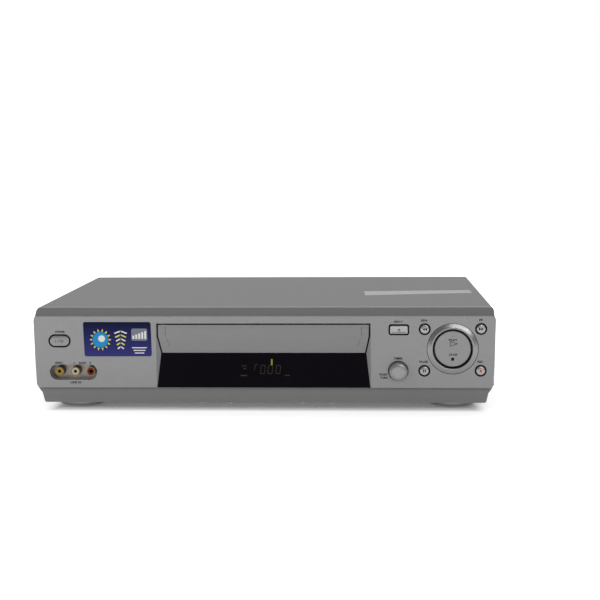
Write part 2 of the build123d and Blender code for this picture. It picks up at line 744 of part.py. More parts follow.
parts["reel_belt"] = beltLoop(1.5, 17.8, 20.0) - beltLoop(0.3, 17.0, 21.0)
stator = post(*capstan, 21.0, 15.0, 16.4) + post(*capstan, 4.0, 16.0, 17.0)
for turn in (100, 200, 340):
    x = capstan[0] + 20.4 * cos(radians(turn))
    d = capstan[1] + 20.4 * sin(radians(turn))
    stator += post(x, d, 0.8, 16.0, deckZ)
parts["capstan_motor"] = stator
rotor = post(*capstan, 9.0, 17.4, 20.6) + post(*capstan, 18.6, 20.4, 23.4)
parts["capstan_rotor"] = rotor + post(*capstan, shaftRadius, 20, 52)
pinchPivot = (84.0, 222.0)
pinchPark = (65.1, 227.3)
pinchArm = topShape(
    [(85.5, 225.3), (65.8, 230.2), (64.4, 224.6), (82.6, 218.8)], 27.0, 28.4
)
pinchArm += post(*pinchPivot, 3.4, 26.0, 32.0) + post(*pinchPark, 3.0, 27.0, 28.4) + post(*pinchPark, 1.5, 28, 47.0)
parts["pinch_arm"] = pinchArm - post(*pinchPivot, 2.05, 25, 33)
parts["pinch_roller"] = post(*pinchPark, 6.0, 29.4, 45.0) - post(*pinchPark, 1.56, 28, 46)
guideRadius = 50.3
guideStart = 49.0


def guideCarriage(side):
    """A sliding base with a roller post and a slanted post, beside the drum."""
    angle = radians(guideStart)
    x = side * guideRadius * sin(angle)
    d = drumBack - guideRadius * cos(angle)
    base = post(x, d, 4.4, 26.0, 28.6)
    roller = post(x, d, 1.6, 28, 50.0) + post(x, d, 3.0, 31.0, 46.0)
    flange = post(x, d, 3.6, 46.0, 48.0)
    slant = rod((x - side * 3.0, d - 1.0, 28.0), (x - side * 4.6, d - 2.6, 45.0), 1.0)
    return joined([base, roller, flange, slant])


parts["supply_guide"] = guideCarriage(-1)
parts["takeup_guide"] = guideCarriage(1)
tension = topShape([(-87, 227), (-81.6, 228), (-72.4, 214.4), (-75.4, 212.4)], 27.0, 28.4)
tension += post(-84, 226, 3.2, 26.0, 29.5) + post(-74, 214, 2.4, 27.0, 28.4) + post(-74, 214, 1.5, 28, 48)
parts["tension_arm"] = tension - post(-84, 226, 1.56, 25, 31)
eraseHead = block(-66, -56, 203, 211, deckTop, 46) + block(-68, -54, 201, 213, deckTop, 27.5)
audioHead = block(44, 54, 199, 206, deckTop, 46) + block(42, 54.5, 197, 208, deckTop, 27.5)
parts["tape_heads"] = group([eraseHead, audioHead])

splitZ = 43.0
lower = post(0, drumBack, drumRadius, splitZ - 12, splitZ) - post(0, drumBack, 3.1, splitZ - 3, splitZ + 1)
lower = tilted(lower, drumBack, splitZ, -drumTilt)
lower += post(0, drumBack, 18, deckTop, 33)
parts["lower_drum"] = lower
upper = post(0, drumBack, drumRadius, splitZ + 0.5, splitZ + 12) + post(0, drumBack, 15, splitZ + 11, splitZ + 15)
upper += post(0, drumBack, 3.0, splitZ - 2.5, splitZ + 1)
for turn in range(4):
    chip = block(-1.5, 1.5, drumBack + drumRadius - 3, drumBack + drumRadius + 0.05, splitZ + 0.3, splitZ + 1.5)
    upper += chip.rotate(Axis((0, faceY + drumBack, 0), (0, 0, 1)), 90 * turn)
parts["upper_drum"] = tilted(upper, drumBack, splitZ, -drumTilt)

camTeeth, camModule = 40, 0.8
parts["cam_gear"] = gear(*cam, 27.5, 32.0, camTeeth, camModule) - post(*cam, 2.05, 26, 34)
wormBack = cam[1] + camTeeth * camModule / 2 + 0.9 * camModule + 3.0
worm = rod((-92, wormBack, 33.0), (-66, wormBack, 33.0), 1.2) + rod((-88, wormBack, 33.0), (-70, wormBack, 33.0), 1.9)
for turn in range(6):
    x = -87.0 + 3.0 * turn
    worm += rod((x, wormBack, 33.0), (x + 1.0, wormBack, 33.0), 2.7)
parts["loading_worm"] = worm
motor = rod((-65, wormBack, 33.0), (-40, wormBack, 33.0), 6.2) - rod((-66, wormBack, 33.0), (-60, wormBack, 33.0), 1.26)
motor += block(-63, -60, wormBack - 5, wormBack + 5, deckTop, 29.0)
motor += block(-95, -93, wormBack - 3, wormBack + 3, deckTop, 36.0)
parts["loading_motor"] = motor

os.makedirs("parts", exist_ok=True)
lift = Location((0, 0, -floorLevel))
for name, shape in parts.items():
    solids = [solid.moved(lift) for solid in shape.solids()]
    piece = solids[0] if len(solids) == 1 else Compound(children=solids)
    export_step(piece, "parts/" + name + ".step")
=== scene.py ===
import bmesh
import bpy
import json
from math import atan2, cos, hypot, pi, radians, sin, tan
from mathutils import Matrix, Quaternion, Vector


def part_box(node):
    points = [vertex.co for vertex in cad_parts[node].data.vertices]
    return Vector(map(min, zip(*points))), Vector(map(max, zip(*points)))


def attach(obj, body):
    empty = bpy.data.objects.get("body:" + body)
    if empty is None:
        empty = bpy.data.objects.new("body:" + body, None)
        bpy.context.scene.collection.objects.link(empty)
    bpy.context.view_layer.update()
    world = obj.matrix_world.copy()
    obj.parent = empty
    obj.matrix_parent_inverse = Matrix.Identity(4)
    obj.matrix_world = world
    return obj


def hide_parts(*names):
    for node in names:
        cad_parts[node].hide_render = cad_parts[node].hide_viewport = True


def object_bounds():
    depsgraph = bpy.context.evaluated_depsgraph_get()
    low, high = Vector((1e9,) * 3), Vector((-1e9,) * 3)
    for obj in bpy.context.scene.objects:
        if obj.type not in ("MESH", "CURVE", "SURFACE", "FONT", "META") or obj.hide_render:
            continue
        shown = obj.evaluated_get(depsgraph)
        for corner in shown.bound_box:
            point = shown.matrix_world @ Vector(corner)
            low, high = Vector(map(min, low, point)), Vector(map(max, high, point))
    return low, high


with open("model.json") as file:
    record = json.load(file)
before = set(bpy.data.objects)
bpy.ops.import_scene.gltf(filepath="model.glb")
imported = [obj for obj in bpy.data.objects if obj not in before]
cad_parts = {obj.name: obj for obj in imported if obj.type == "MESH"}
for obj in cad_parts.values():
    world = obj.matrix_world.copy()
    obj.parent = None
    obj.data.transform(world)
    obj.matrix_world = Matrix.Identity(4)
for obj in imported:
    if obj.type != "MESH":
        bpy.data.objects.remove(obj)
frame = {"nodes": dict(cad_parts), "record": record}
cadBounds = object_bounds()
nodes = frame["nodes"]
record = frame["record"]
bodyOfNode = {
    node: body for body, members in record["behaviour"]["bodies"].items() for node in members
}
slotOfNode = {entry["node"]: entry["material_slot"] for entry in record["subparts"]}
print("frame loaded:", len(nodes), "nodes")

mm = 0.001
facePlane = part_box("front_panel")[0].y   # y of the front panel's face


def at(x, d, z):
    # millimetres: x, distance behind the face of the front panel, height above the floor
    return Vector((x * mm, facePlane + d * mm, z * mm))


def linear(red, green, blue):
    # an 8-bit screen colour as scene-linear values
    values = []
    for channel in (red, green, blue):
        part = channel / 255
        values.append(part / 12.92 if part <= 0.04045 else ((part + 0.055) / 1.055) ** 2.4)
    return (*values, 1.0)


def linked(name, data):
    # a new object in the scene
    thing = bpy.data.objects.new(name, data)
    bpy.context.scene.collection.objects.link(thing)
    return thing


def evaluatedMesh(holder):
    # the mesh that an object's modifiers or its text make; the object itself goes
    bpy.context.view_layer.update()
    graph = bpy.context.evaluated_depsgraph_get()
    mesh = bpy.data.meshes.new_from_object(holder.evaluated_get(graph))
    bpy.data.objects.remove(holder)
    return mesh


def feed(tree, node, values):
    # values go by socket name or number: a plain value, a socket, a node for its first output
    # in use, or a list of such
    for socket, value in values.items():
        for source in value if isinstance(value, list) else [value]:
            if isinstance(source, bpy.types.Node):
                source = next(output for output in source.outputs if output.enabled)
            if isinstance(source, bpy.types.NodeSocket):
                tree.links.new(source, node.inputs[socket])
            else:
                node.inputs[socket].default_value = source


def addNode(tree, kind, values=None, **choices):
    node = tree.nodes.new(kind)
    for key, value in choices.items():
        setattr(node, key, value)
    feed(tree, node, values or {})
    return node


cameraPlace = {           # the photograph's viewing point
    "x": 0.08646,
    "inFront": 1.18277,   # metres from the face of the front panel
    "height": 0.24517,
    "yaw": 0.04366,       # radians, turned to the left
    "pitch": 0.11742,     # radians, looking down
    "roll": -0.00629,
    "focalPixels": 1283.4,
    "imageWidth": 600,
    "sensor": 36.0,
    "clip": (0.01, 30),
}


def buildCamera(place):
    yaw, pitch, roll = place["yaw"], place["pitch"], place["roll"]
    forward = Vector((-sin(yaw) * cos(pitch), cos(yaw) * cos(pitch), -sin(pitch)))
    level = Vector((cos(yaw), sin(yaw), 0))
    upright = level.cross(forward)
    right = cos(roll) * level + sin(roll) * upright
    up = cos(roll) * upright - sin(roll) * level
    data = bpy.data.cameras.new("photoCamera")
    data.sensor_width = place["sensor"]
    data.lens = place["focalPixels"] / place["imageWidth"] * place["sensor"]
    data.clip_start, data.clip_end = place["clip"]
    camera = linked("photoCamera", data)
    turn = Matrix((right, up, -forward)).transposed().to_4x4()
    where = Vector((place["x"], facePlane - place["inFront"], place["height"]))
    camera.matrix_world = Matrix.Translation(where) @ turn
    bpy.context.scene.camera = camera


buildCamera(cameraPlace)

studio = {
    "floorSize": 12.0,
    "floorColour": (0.86, 0.86, 0.86, 1.0),
    "burnInset": 0.018,   # how far under the recorder's outline the table's extra light starts
    "burnReach": 0.25,    # metres from the recorder to where the table has burnt out
    # share of the reach, light
    "burn": [(0.0, 0.12), (0.04, 0.50), (0.15, 0.54), (0.45, 0.66), (1.0, 1.0)],
    "surround": (0.80, 0.81, 0.83, 1.0),
    "surroundStrength": 0.42,
    "room": 0.32,         # what polished metal sees in front of the recorder, where white is 1
    "roomLean": (0.0, 1.0, 0.1),   # towards the white side
    "roomEdge": 0.6,      # how far along the lean the room has turned white
}
lamps = {
    "rearTop": {
        "at": (0.15, 0.55, 1.6), "aim": (0, 0, 0.05), "size": (1.8, 0.3), "watts": 8.5,
        "gloss": True,
    },
    "key": {
        "at": (0.60, -1.30, 0.66), "aim": (0.15, -0.1, 0.05), "size": (0.9, 0.28), "watts": 5.2,
        "gloss": True, "roll": -20,
    },
    # the side lamps are soft walls, with no hard mirror image
    "left": {
        "at": (-0.62, -0.80, 0.38), "aim": (-0.2, -0.1, 0.05), "size": (0.5, 0.5), "watts": 3.8,
        "gloss": False,
    },
    "right": {
        "at": (0.95, -0.85, 0.38), "aim": (0.2, -0.1, 0.05), "size": (0.5, 0.5), "watts": 0.8,
        "gloss": False,
    },
}


def seenDirectly(tree):
    # 1 for rays from the camera and for those that mirror or pass through
    path = addNode(tree, "ShaderNodeLightPath").outputs
    first = addNode(
        tree, "ShaderNodeMath", {0: path["Is Camera Ray"], 1: path["Is Glossy Ray"]},
        operation="ADD",
    )
    return addNode(
        tree, "ShaderNodeMath", {0: first, 1: path["Is Transmission Ray"]},
        operation="ADD", use_clamp=True,
    )


def buildFloor(settings):
    mesh = bpy.data.meshes.new("floor")
    half = settings["floorSize"] / 2
    corners = [(-half, -half, 0), (half, -half, 0), (half, half, 0), (-half, half, 0)]
    mesh.from_pydata(corners, [], [(0, 1, 2, 3)])
    floor = linked("floor", mesh)
    material = bpy.data.materials.new("whiteTable")
    material.use_nodes = True
    tree = material.node_tree
    tree.nodes.clear()
    # distance from the recorder's outline on the table
    inset = settings["burnInset"]
    place = addNode(tree, "ShaderNodeTexCoord").outputs["Object"]
    size = addNode(tree, "ShaderNodeVectorMath", {0: place}, operation="ABSOLUTE")
    beyond = addNode(
        tree, "ShaderNodeVectorMath",
        {0: size, 1: (cadBounds[1][0] - inset, cadBounds[1][1] - inset, 0)}, operation="SUBTRACT",
    )
    outside = addNode(tree, "ShaderNodeVectorMath", {0: beyond, 1: (0, 0, 0)}, operation="MAXIMUM")
    away = addNode(tree, "ShaderNodeVectorMath", {0: outside}, operation="LENGTH")
    rise = addNode(tree, "ShaderNodeMapRange", {"Value": away, "From Max": settings["burnReach"]})
    # the glow is weakest at the recorder's outline and so paints a soft shadow round it, beside the
    # real shadow
    burn = addNode(tree, "ShaderNodeValToRGB", {"Fac": rise})
    while len(burn.color_ramp.elements) < len(settings["burn"]):
        burn.color_ramp.elements.new(0.5)
    for element, (share, light) in zip(burn.color_ramp.elements, settings["burn"]):
        element.position = share
        element.color = (light, light, light, 1)
    seen = addNode(tree, "ShaderNodeMath", {0: burn, 1: seenDirectly(tree)}, operation="MULTIPLY")
    matt = addNode(tree, "ShaderNodeBsdfDiffuse", {"Color": settings["floorColour"]})
    glow = addNode(tree, "ShaderNodeEmission", {"Strength": seen})
    total = addNode(tree, "ShaderNodeAddShader", {0: matt, 1: glow})
    addNode(tree, "ShaderNodeOutputMaterial", {"Surface": total})
    mesh.materials.append(material)


def buildSurround(settings):
    world = bpy.data.worlds.new("studio")
    bpy.context.scene.world = world
    world.use_nodes = True
    tree = world.node_tree
    tree.nodes.clear()
    # white behind; the room in front is dimmer, which only mirroring rays see
    way = addNode(tree, "ShaderNodeTexCoord").outputs["Generated"]
    lean = addNode(
        tree, "ShaderNodeVectorMath", {0: way, 1: settings["roomLean"]}, operation="DOT_PRODUCT"
    )
    share = addNode(
        tree, "ShaderNodeMapRange",
        {"Value": lean, "From Max": settings["roomEdge"], "To Min": settings["room"]},
        interpolation_type="SMOOTHSTEP",
    )
    camera = addNode(tree, "ShaderNodeLightPath").outputs["Is Camera Ray"]
    level = addNode(tree, "ShaderNodeMath", {0: share, 1: camera}, operation="MAXIMUM")
    plain = addNode(
        tree, "ShaderNodeBackground",
        {"Color": settings["surround"], "Strength": settings["surroundStrength"]},
    )
    white = addNode(tree, "ShaderNodeBackground", {"Color": (1, 1, 1, 1), "Strength": level})
    mix = addNode(tree, "ShaderNodeMixShader", {"Fac": seenDirectly(tree), 1: plain, 2: white})
    addNode(tree, "ShaderNodeOutputWorld", {"Surface": mix})


def buildLamp(name, settings):
    data = bpy.data.lights.new(name, "AREA")
    data.shape = "RECTANGLE"
    data.size, data.size_y = settings["size"]
    data.energy = settings["watts"]
    lamp = linked(name, data)
    direction = Vector(settings["aim"]) - Vector(settings["at"])
    roll = Quaternion((0, 0, 1), radians(settings.get("roll", 0)))
    lamp.rotation_euler = (direction.to_track_quat("-Z", "Y") @ roll).to_euler()
    lamp.location = settings["at"]
    lamp.visible_glossy = settings["gloss"]


buildFloor(studio)
buildSurround(studio)
for lampName, lampSettings in lamps.items():
    buildLamp(lampName, lampSettings)
bpy.context.scene.view_settings.view_transform = "Standard"
print("camera and studio ready")

# colours are 8-bit screen values; patch is how far broad patches vary the colour, flake how far
# the paint's flakes do, and grain is in cells per metre
ink = {"roughness": 0.6, "grain": 2500, "bump": 0.02}
stickerInk = {"roughness": 0.3, "specular": 0.06, "grain": 900, "bump": 0.01}
segment = {
    "roughness": 0.3, "specular": 0.1, "patch": 0.2, "grain": 2000, "bump": 0.01,
    "glowStrength": 1.0,
}
finishes = {
    "silver_paint": {
        "colour": (105, 105, 106), "metallic": 0.12, "roughness": 0.42, "specular": 0.20,
        "edgeTint": 0.25, "patch": 0.05, "flake": 0.10, "grain": 900, "bump": 0.02,
    },
    "silver_plastic": {
        "colour": (132, 132, 133), "metallic": 0.60, "roughness": 0.40, "specular": 0.25,
        "edgeTint": 0.6, "patch": 0.04, "flake": 0.08, "grain": 700, "bump": 0.015,
    },
    # the door's plastic, darker than the face: painted shade, as the middle of the face falls
    # darker
    "doorShadedPlastic": {
        "colour": (120, 120, 120), "metallic": 0.50, "roughness": 0.40, "specular": 0.25,
        "edgeTint": 0.6, "patch": 0.04, "flake": 0.08, "grain": 700, "bump": 0.015,
    },
    "coverEdgeHighlightPaint": {   # a lighter, glossier paint on the rounded edge: a painted highlight along it
        "colour": (136, 136, 137), "metallic": 0.40, "roughness": 0.42, "specular": 0.2,
        "edgeTint": 0.35, "patch": 0.08, "flake": 0.08, "grain": 900, "bump": 0.02,
    },
    # the plinth's plastic, darker than the face: painted shade under the face's lower edge
    "plinthShadedPlastic": {
        "colour": (113, 113, 111), "metallic": 0.30, "roughness": 0.45, "specular": 0.25,
        "patch": 0.04, "flake": 0.06, "grain": 700, "bump": 0.015,
    },
    "bright_key": {
        "colour": (147, 147, 148), "metallic": 0.80, "roughness": 0.28,
        "patch": 0.04, "flake": 0.05, "grain": 4000, "bump": 0.002,
    },
    "ring_metal": {
        "colour": (128, 128, 129), "metallic": 0.85, "roughness": 0.27,
        "patch": 0.03, "grain": 5000, "bump": 0.003,
    },
    "dialSilver": {
        "colour": (134, 134, 135), "metallic": 0.60, "roughness": 0.30,
        "patch": 0.03, "grain": 5000, "bump": 0.002,
    },
    "zinc_steel": {
        "colour": (168, 168, 160), "metallic": 0.85, "roughness": 0.40,
        "patch": 0.10, "flake": 0.10, "grain": 260, "bump": 0.02,
    },
    "bright_steel": {
        "colour": (190, 190, 188), "metallic": 1.0, "roughness": 0.22,
        "patch": 0.05, "grain": 1500, "bump": 0.01,
    },
    "smoked_window": {
        "colour": (15, 12, 17), "roughness": 0.12, "specular": 0.03,
        "patch": 0.2, "grain": 60, "bump": 0.002,
    },
    "display_glass": {
        "colour": (60, 74, 66), "roughness": 0.08, "patch": 0.1, "grain": 100, "bump": 0.002,
    },
    "foot_silver": {
        "colour": (142, 142, 140), "metallic": 0.9, "roughness": 0.22,
        "patch": 0.05, "grain": 500, "bump": 0.01,
    },
    "black_plastic": {
        "colour": (30, 30, 32), "roughness": 0.55, "patch": 0.25, "grain": 1600, "bump": 0.04,
    },
    "foot_felt": {
        "colour": (52, 51, 50), "roughness": 0.9, "patch": 0.25, "grain": 2400, "bump": 0.10,
    },
    "recess_metal": {
        "colour": (152, 144, 138), "metallic": 0.35, "roughness": 0.30,
        "patch": 0.08, "grain": 300, "bump": 0.01,
    },
    "nickel": {
        "colour": (120, 104, 70), "metallic": 1.0, "roughness": 0.28,
        "patch": 0.06, "grain": 900, "bump": 0.01,
    },
    "yellow": {
        "colour": (134, 104, 16), "metallic": 0.1, "roughness": 0.35,
        "patch": 0.06, "grain": 1500, "bump": 0.02,
    },
    "white": {
        "colour": (166, 156, 134), "roughness": 0.38, "patch": 0.04, "grain": 1500, "bump": 0.02,
    },
    "red": {
        "colour": (92, 8, 5), "roughness": 0.34, "specular": 0.2,
        "patch": 0.10, "grain": 1500, "bump": 0.02,
    },
    "board_green": {
        "colour": (74, 96, 48), "roughness": 0.35, "tracks": (104, 124, 66),
        "patch": 0.18, "grain": 220, "bump": 0.02,
    },
    "gear_white": {
        "colour": (216, 213, 202), "roughness": 0.48, "patch": 0.05, "grain": 1800, "bump": 0.02,
    },
    "motor_steel": {
        "colour": (158, 158, 156), "metallic": 0.9, "roughness": 0.32,
        "patch": 0.08, "grain": 700, "stretch": (1, 8, 8), "bump": 0.02,
    },
    "drum_metal": {
        "colour": (206, 206, 204), "metallic": 1.0, "roughness": 0.18,
        "patch": 0.03, "grain": 500, "stretch": (1, 1, 14), "bump": 0.02,
    },
    # black plastic of the guides and linings, which also paints the shade in the gaps round the
    # keys, ring, dial and door
    "guideBlackGapShade": {
        "colour": (12, 12, 13), "roughness": 0.7, "specular": 0.1,
        "patch": 0.2, "grain": 2000, "bump": 0.02,
    },
    "recordRed": {
        "colour": (186, 52, 28), "roughness": 0.45, "patch": 0.1, "grain": 2000, "bump": 0.02,
    },
    "grooveShade": {
        "colour": (78, 78, 80), "roughness": 0.7, "patch": 0.1, "grain": 2000, "bump": 0.02,
    },
    "paleLabel": {
        "colour": (172, 171, 169), "roughness": 0.5, "patch": 0.05, "grain": 400, "bump": 0.03,
    },
    "symbolInk": {**ink, "colour": (14, 14, 16), "specular": 0.1, "patch": 0.15},
    "faintInk": {**ink, "colour": (44, 44, 46), "patch": 0.1},
    "stickerBlue": {
        **stickerInk, "colour": (48, 49, 107), "patch": 0.05,
        "rising": {"colour": (6, 14, 42), "from": 0.052, "to": 0.085},
    },
    "stickerWhite": {**stickerInk, "colour": (206, 206, 204), "patch": 0.04},
    "stickerYellow": {**stickerInk, "colour": (198, 190, 84), "patch": 0.05},
    "stickerCyan": {**stickerInk, "colour": (40, 128, 178), "patch": 0.08, "grain": 300},
    "stickerGrey": {**stickerInk, "colour": (112, 116, 126), "patch": 0.08},
    "dimSegment": {**segment, "colour": (26, 28, 22), "glow": (34, 38, 28)},
    "litSegment": {**segment, "colour": (60, 70, 20), "glow": (108, 120, 34)},
}
texture = {
    "patchScale": 14.0, "patchDetail": 3.0, "grainDetail": 2.0, "roughSpread": 0.15,
    "flakeScale": 2.2, "flakeSaturation": 0.25, "bumpGain": 5, "bumpDistance": 0.0001,
    "tracks": {"Scale": 90.0, "Mortar Size": 0.03, "Color2": (0.35, 0.35, 0.35, 1)},
}
black, white = (0, 0, 0, 1), (1, 1, 1, 1)


def mixed(tree, first, second, share, blend="MIX"):
    values = {"A": first, "B": second, "Factor": share}
    return addNode(tree, "ShaderNodeMix", values, data_type="RGBA", blend_type=blend)


def finishMaterial(name, settings):
    material = bpy.data.materials.new(name)
    material.use_nodes = True
    tree = material.node_tree
    place = addNode(tree, "ShaderNodeTexCoord").outputs["Object"]
    # broad patches: the finish is a touch darker here and there
    broad = addNode(tree, "ShaderNodeTexNoise", {
        "Vector": place, "Scale": texture["patchScale"], "Detail": texture["patchDetail"],
    })
    base, patch = linear(*settings["colour"]), settings["patch"]
    darker = (*(part * (1 - patch) for part in base[:3]), 1)
    lighter = (*(part * (1 + patch / 2) for part in base[:3]), 1)
    colour = mixed(tree, darker, lighter, broad)
    if "rising" in settings:
        # one colour turns into another with height
        rising = settings["rising"]
        height = addNode(tree, "ShaderNodeSeparateXYZ", {"Vector": place}).outputs["Z"]
        share = addNode(tree, "ShaderNodeMapRange", {
            "Value": height, "From Min": rising["from"], "From Max": rising["to"],
        })
        colour = mixed(tree, colour, linear(*rising["colour"]), share)
    if "tracks" in settings:
        # copper tracks that show through the lacquer
        tracks = addNode(tree, "ShaderNodeTexBrick", {
            "Vector": place, "Color1": black, "Mortar": white, **texture["tracks"],
        })
        colour = mixed(tree, colour, linear(*settings["tracks"]), tracks)
    # fine grain, stretched along the brush or the lathe where there is one
    stretched = addNode(tree, "ShaderNodeMapping", {
        "Vector": place, "Scale": settings.get("stretch", (1, 1, 1)),
    })
    grain = addNode(tree, "ShaderNodeTexNoise", {
        "Vector": stretched, "Scale": settings["grain"], "Detail": texture["grainDetail"],
    })
    if "flake" in settings:
        flakes = addNode(tree, "ShaderNodeTexVoronoi", {
            "Vector": place, "Scale": settings["grain"] * texture["flakeScale"],
        })
        sparkle = mixed(tree, colour, flakes.outputs["Color"], settings["flake"], "OVERLAY")
        colour = addNode(tree, "ShaderNodeHueSaturation", {
            "Color": sparkle, "Saturation": texture["flakeSaturation"],
        })
    rough, spread = settings["roughness"], texture["roughSpread"]
    tint = settings.get("edgeTint", 1.0)
    shader = tree.nodes["Principled BSDF"]
    feed(tree, shader, {
        "Base Color": colour,
        "Metallic": settings.get("metallic", 0.0),
        "Specular IOR Level": settings.get("specular", 0.5),
        "Specular Tint": (tint, tint, tint, 1),
        "Roughness": addNode(tree, "ShaderNodeMapRange", {
            "Value": grain, "To Min": rough * (1 - spread),
            "To Max": min(1.0, rough * (1 + spread)),
        }),
        "Normal": addNode(tree, "ShaderNodeBump", {
            "Height": grain, "Strength": settings["bump"] * texture["bumpGain"],
            "Distance": texture["bumpDistance"],
        }),
    })
    if "glow" in settings:
        feed(tree, shader, {
            "Emission Color": linear(*settings["glow"]),
            "Emission Strength": settings["glowStrength"],
        })
    return material


materials = {name: finishMaterial(name, settings) for name, settings in finishes.items()}
for nodeName, node in nodes.items():
    node.data.materials.clear()
    node.data.materials.append(materials[slotOfNode[nodeName]])
print("finishes ready:", len(materials))


def newPiece(name, mesh, materialName, body):
    piece = linked(name, mesh)
    mesh.materials.clear()
    mesh.materials.append(materials[materialName])
    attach(piece, body)
    return piece


def standFor(piece, nodeName):
    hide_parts(nodeName)


def smoothByAngle(bm, degrees):
    for face in bm.faces:
        face.smooth = True
    for edge in bm.edges:
        sharp = len(edge.link_faces) != 2 or edge.calc_face_angle(pi) > radians(degrees)
        edge.smooth = not sharp


def meshFrom(bm, name, smoothBelow=None):
    bmesh.ops.recalc_face_normals(bm, faces=bm.faces)
    if smoothBelow:
        smoothByAngle(bm, smoothBelow)
    mesh = bpy.data.meshes.new(name)
    bm.to_mesh(mesh)
    bm.free()
    return mesh


def joinLoops(bm, near, far):
    for i in range(len(near)):
        j = (i + 1) % len(near)
        bm.faces.new([near[i], near[j], far[j], far[i]])


def evenShading(mesh):
    # large flat faces keep their own direction, and the rounding between them takes the turn
    holder = linked("shadingHolder", mesh)
    weighted = holder.modifiers.new("even", "WEIGHTED_NORMAL")
    weighted.keep_sharp = True
    weighted.weight = 100
    result = evaluatedMesh(holder)
    bpy.data.meshes.remove(mesh)
    return result


# CAD shapes that show from outside get their edges broken: width of the rounding in millimetres
softEdges = {
    "top_cover": 0.45,
    "front_panel": 0.30,
    "cassette_door": 0.35,
    "display_window": 0.15,
    "play_stop_key": 0.30,
    "power_button": 0.40,
    "eject_button": 0.45,
    "rewind_button": 0.45,
    "fast_forward_button": 0.45,
    "pause_button": 0.45,
    "record_button": 0.45,
    "timer_dial_knob": 0.30,
    "jack_cup": 0.30,
    "front_feet": 0.40,
    "rear_feet": 0.60,
    "rear_panel": 0.15,
    "bottom_chassis": 0.25,
    "mains_inlet": 0.35,
    "aerial_connectors": 0.20,
    "phono_shells": 0.15,
    "cassette_holder": 0.25,
    "upper_drum": 0.35,
    "lower_drum": 0.35,
    "tuner_box": 0.50,
}
# angles between faces in degrees and lengths in metres; a key's front faces more than forward
softening = {
    "weld": 0.000002, "flatBelow": 0.5, "bevelAbove": 28, "smoothBelow": 32, "turnedBelow": 40,
    "sameLevel": 0.00002, "sliceWeld": 0.000001, "forward": -0.99,
}
# the fronts of the keys: inward steps as (width, rise towards the user), in millimetres
roundKey = [(0.7, 0.22), (0.6, 0.06), (0.6, 0.02)]
crowns = {
    "power_button": [(0.9, 0.22), (1.0, 0.08)],
    "rewind_button": roundKey,
    "fast_forward_button": roundKey,
    "pause_button": roundKey,
    "record_button": roundKey,
    "timer_dial_knob": [(0.25, -0.30), (0.5, 0.13), (0.9, 0.11), (0.9, 0.04)],
}
# the rounding between the cover's front slope and its flat top. The top sinks to seat the pale
# strip, and the rounding's faces, found by their lean, take a lighter paint that is a painted
# highlight
coverEdge = {
    "width": 1.3, "steps": 7, "d": 11.0, "slope": 42.1, "above": 92, "sink": 0.06, "sheet": 1.0,
    "finish": "coverEdgeHighlightPaint", "rise": (0.76, 0.999), "forward": -0.02,
}
plinthShade = {"top": 22.2, "finish": "plinthShadedPlastic", "rise": 0.6}   # below its top it takes a darker plastic: painted shade, as the plinth sits back under the face


def crownFront(bm, steps):
    fronts = [face for face in bm.faces if face.normal.y < softening["forward"]]
    level = max(fronts, key=lambda face: face.calc_area()).calc_center_median().y
    faces = [
        face for face in fronts
        if abs(face.calc_center_median().y - level) < softening["sameLevel"]
    ]
    for width, rise in steps:
        bmesh.ops.inset_region(
            bm, faces=faces, thickness=width * mm, depth=rise * mm, use_even_offset=True
        )


def roundCoverEdge(bm, settings):
    # the cover is sliced across the edge, and the slices sink onto a rounding
    place = facePlane + settings["d"] * mm
    width, slope = settings["width"] * mm, radians(settings["slope"])
    radius = width / tan(slope / 2)
    near, far = place - width * cos(slope), place + width
    for i in range(settings["steps"] + 1):
        y = near + (far - near) * i / settings["steps"]
        bmesh.ops.bisect_plane(
            bm, geom=bm.verts[:] + bm.edges[:] + bm.faces[:], plane_co=(0, y, 0),
            plane_no=(0, 1, 0), dist=softening["sliceWeld"],
        )
    for vertex in bm.verts:
        y = vertex.co.y
        if near < y < far and vertex.co.z > settings["above"] * mm:
            sharp = min(0, (y - place) * tan(slope))
            rounded = (radius ** 2 - (far - y) ** 2) ** 0.5 - radius
            vertex.co.z -= sharp - rounded


def sinkTop(bm, settings):
    top, sheet = max(vertex.co.z for vertex in bm.verts), settings["sheet"] * mm
    for vertex in bm.verts:
        share = max(0, (vertex.co.z - top + sheet) / sheet)
        vertex.co.z -= settings["sink"] * mm * share


def softenedCopy(nodeName, width):
    mesh = nodes[nodeName].data.copy()
    mesh.name = nodeName + "Soft"
    for attribute in [a.name for a in mesh.attributes if a.name == "custom_normal"]:
        mesh.attributes.remove(mesh.attributes[attribute])
    bm = bmesh.new()
    bm.from_mesh(mesh)
    bmesh.ops.remove_doubles(bm, verts=bm.verts, dist=softening["weld"])
    flat = radians(softening["flatBelow"])
    bmesh.ops.dissolve_limit(bm, angle_limit=flat, verts=bm.verts, edges=bm.edges)
    if nodeName == "top_cover":
        roundCoverEdge(bm, coverEdge)
    bent = radians(softening["bevelAbove"])
    edges = [e for e in bm.edges if len(e.link_faces) == 2 and e.calc_face_angle(0) > bent]
    bmesh.ops.bevel(
        bm, geom=edges, offset=width * mm, offset_type="OFFSET", segments=2, profile=0.5,
        affect="EDGES", clamp_overlap=True,
    )
    bm.normal_update()
    if nodeName in crowns:
        crownFront(bm, crowns[nodeName])
    if nodeName == "top_cover":
        sinkTop(bm, coverEdge)
    bm.normal_update()
    smoothByAngle(bm, softening["smoothBelow"])
    bm.to_mesh(mesh)
    bm.free()
    slot, body = slotOfNode[nodeName], bodyOfNode[nodeName]
    piece = newPiece(nodeName + "Soft", evenShading(mesh), slot, body)
    standFor(piece, nodeName)
    return piece


def tintFaces(piece, materialName, wanted):
    piece.data.materials.append(materials[materialName])
    for face in piece.data.polygons:
        if wanted(face):
            face.material_index = 1


def inPlinthShade(face):
    return face.center.z < plinthShade["top"] * mm and face.normal.z < plinthShade["rise"]


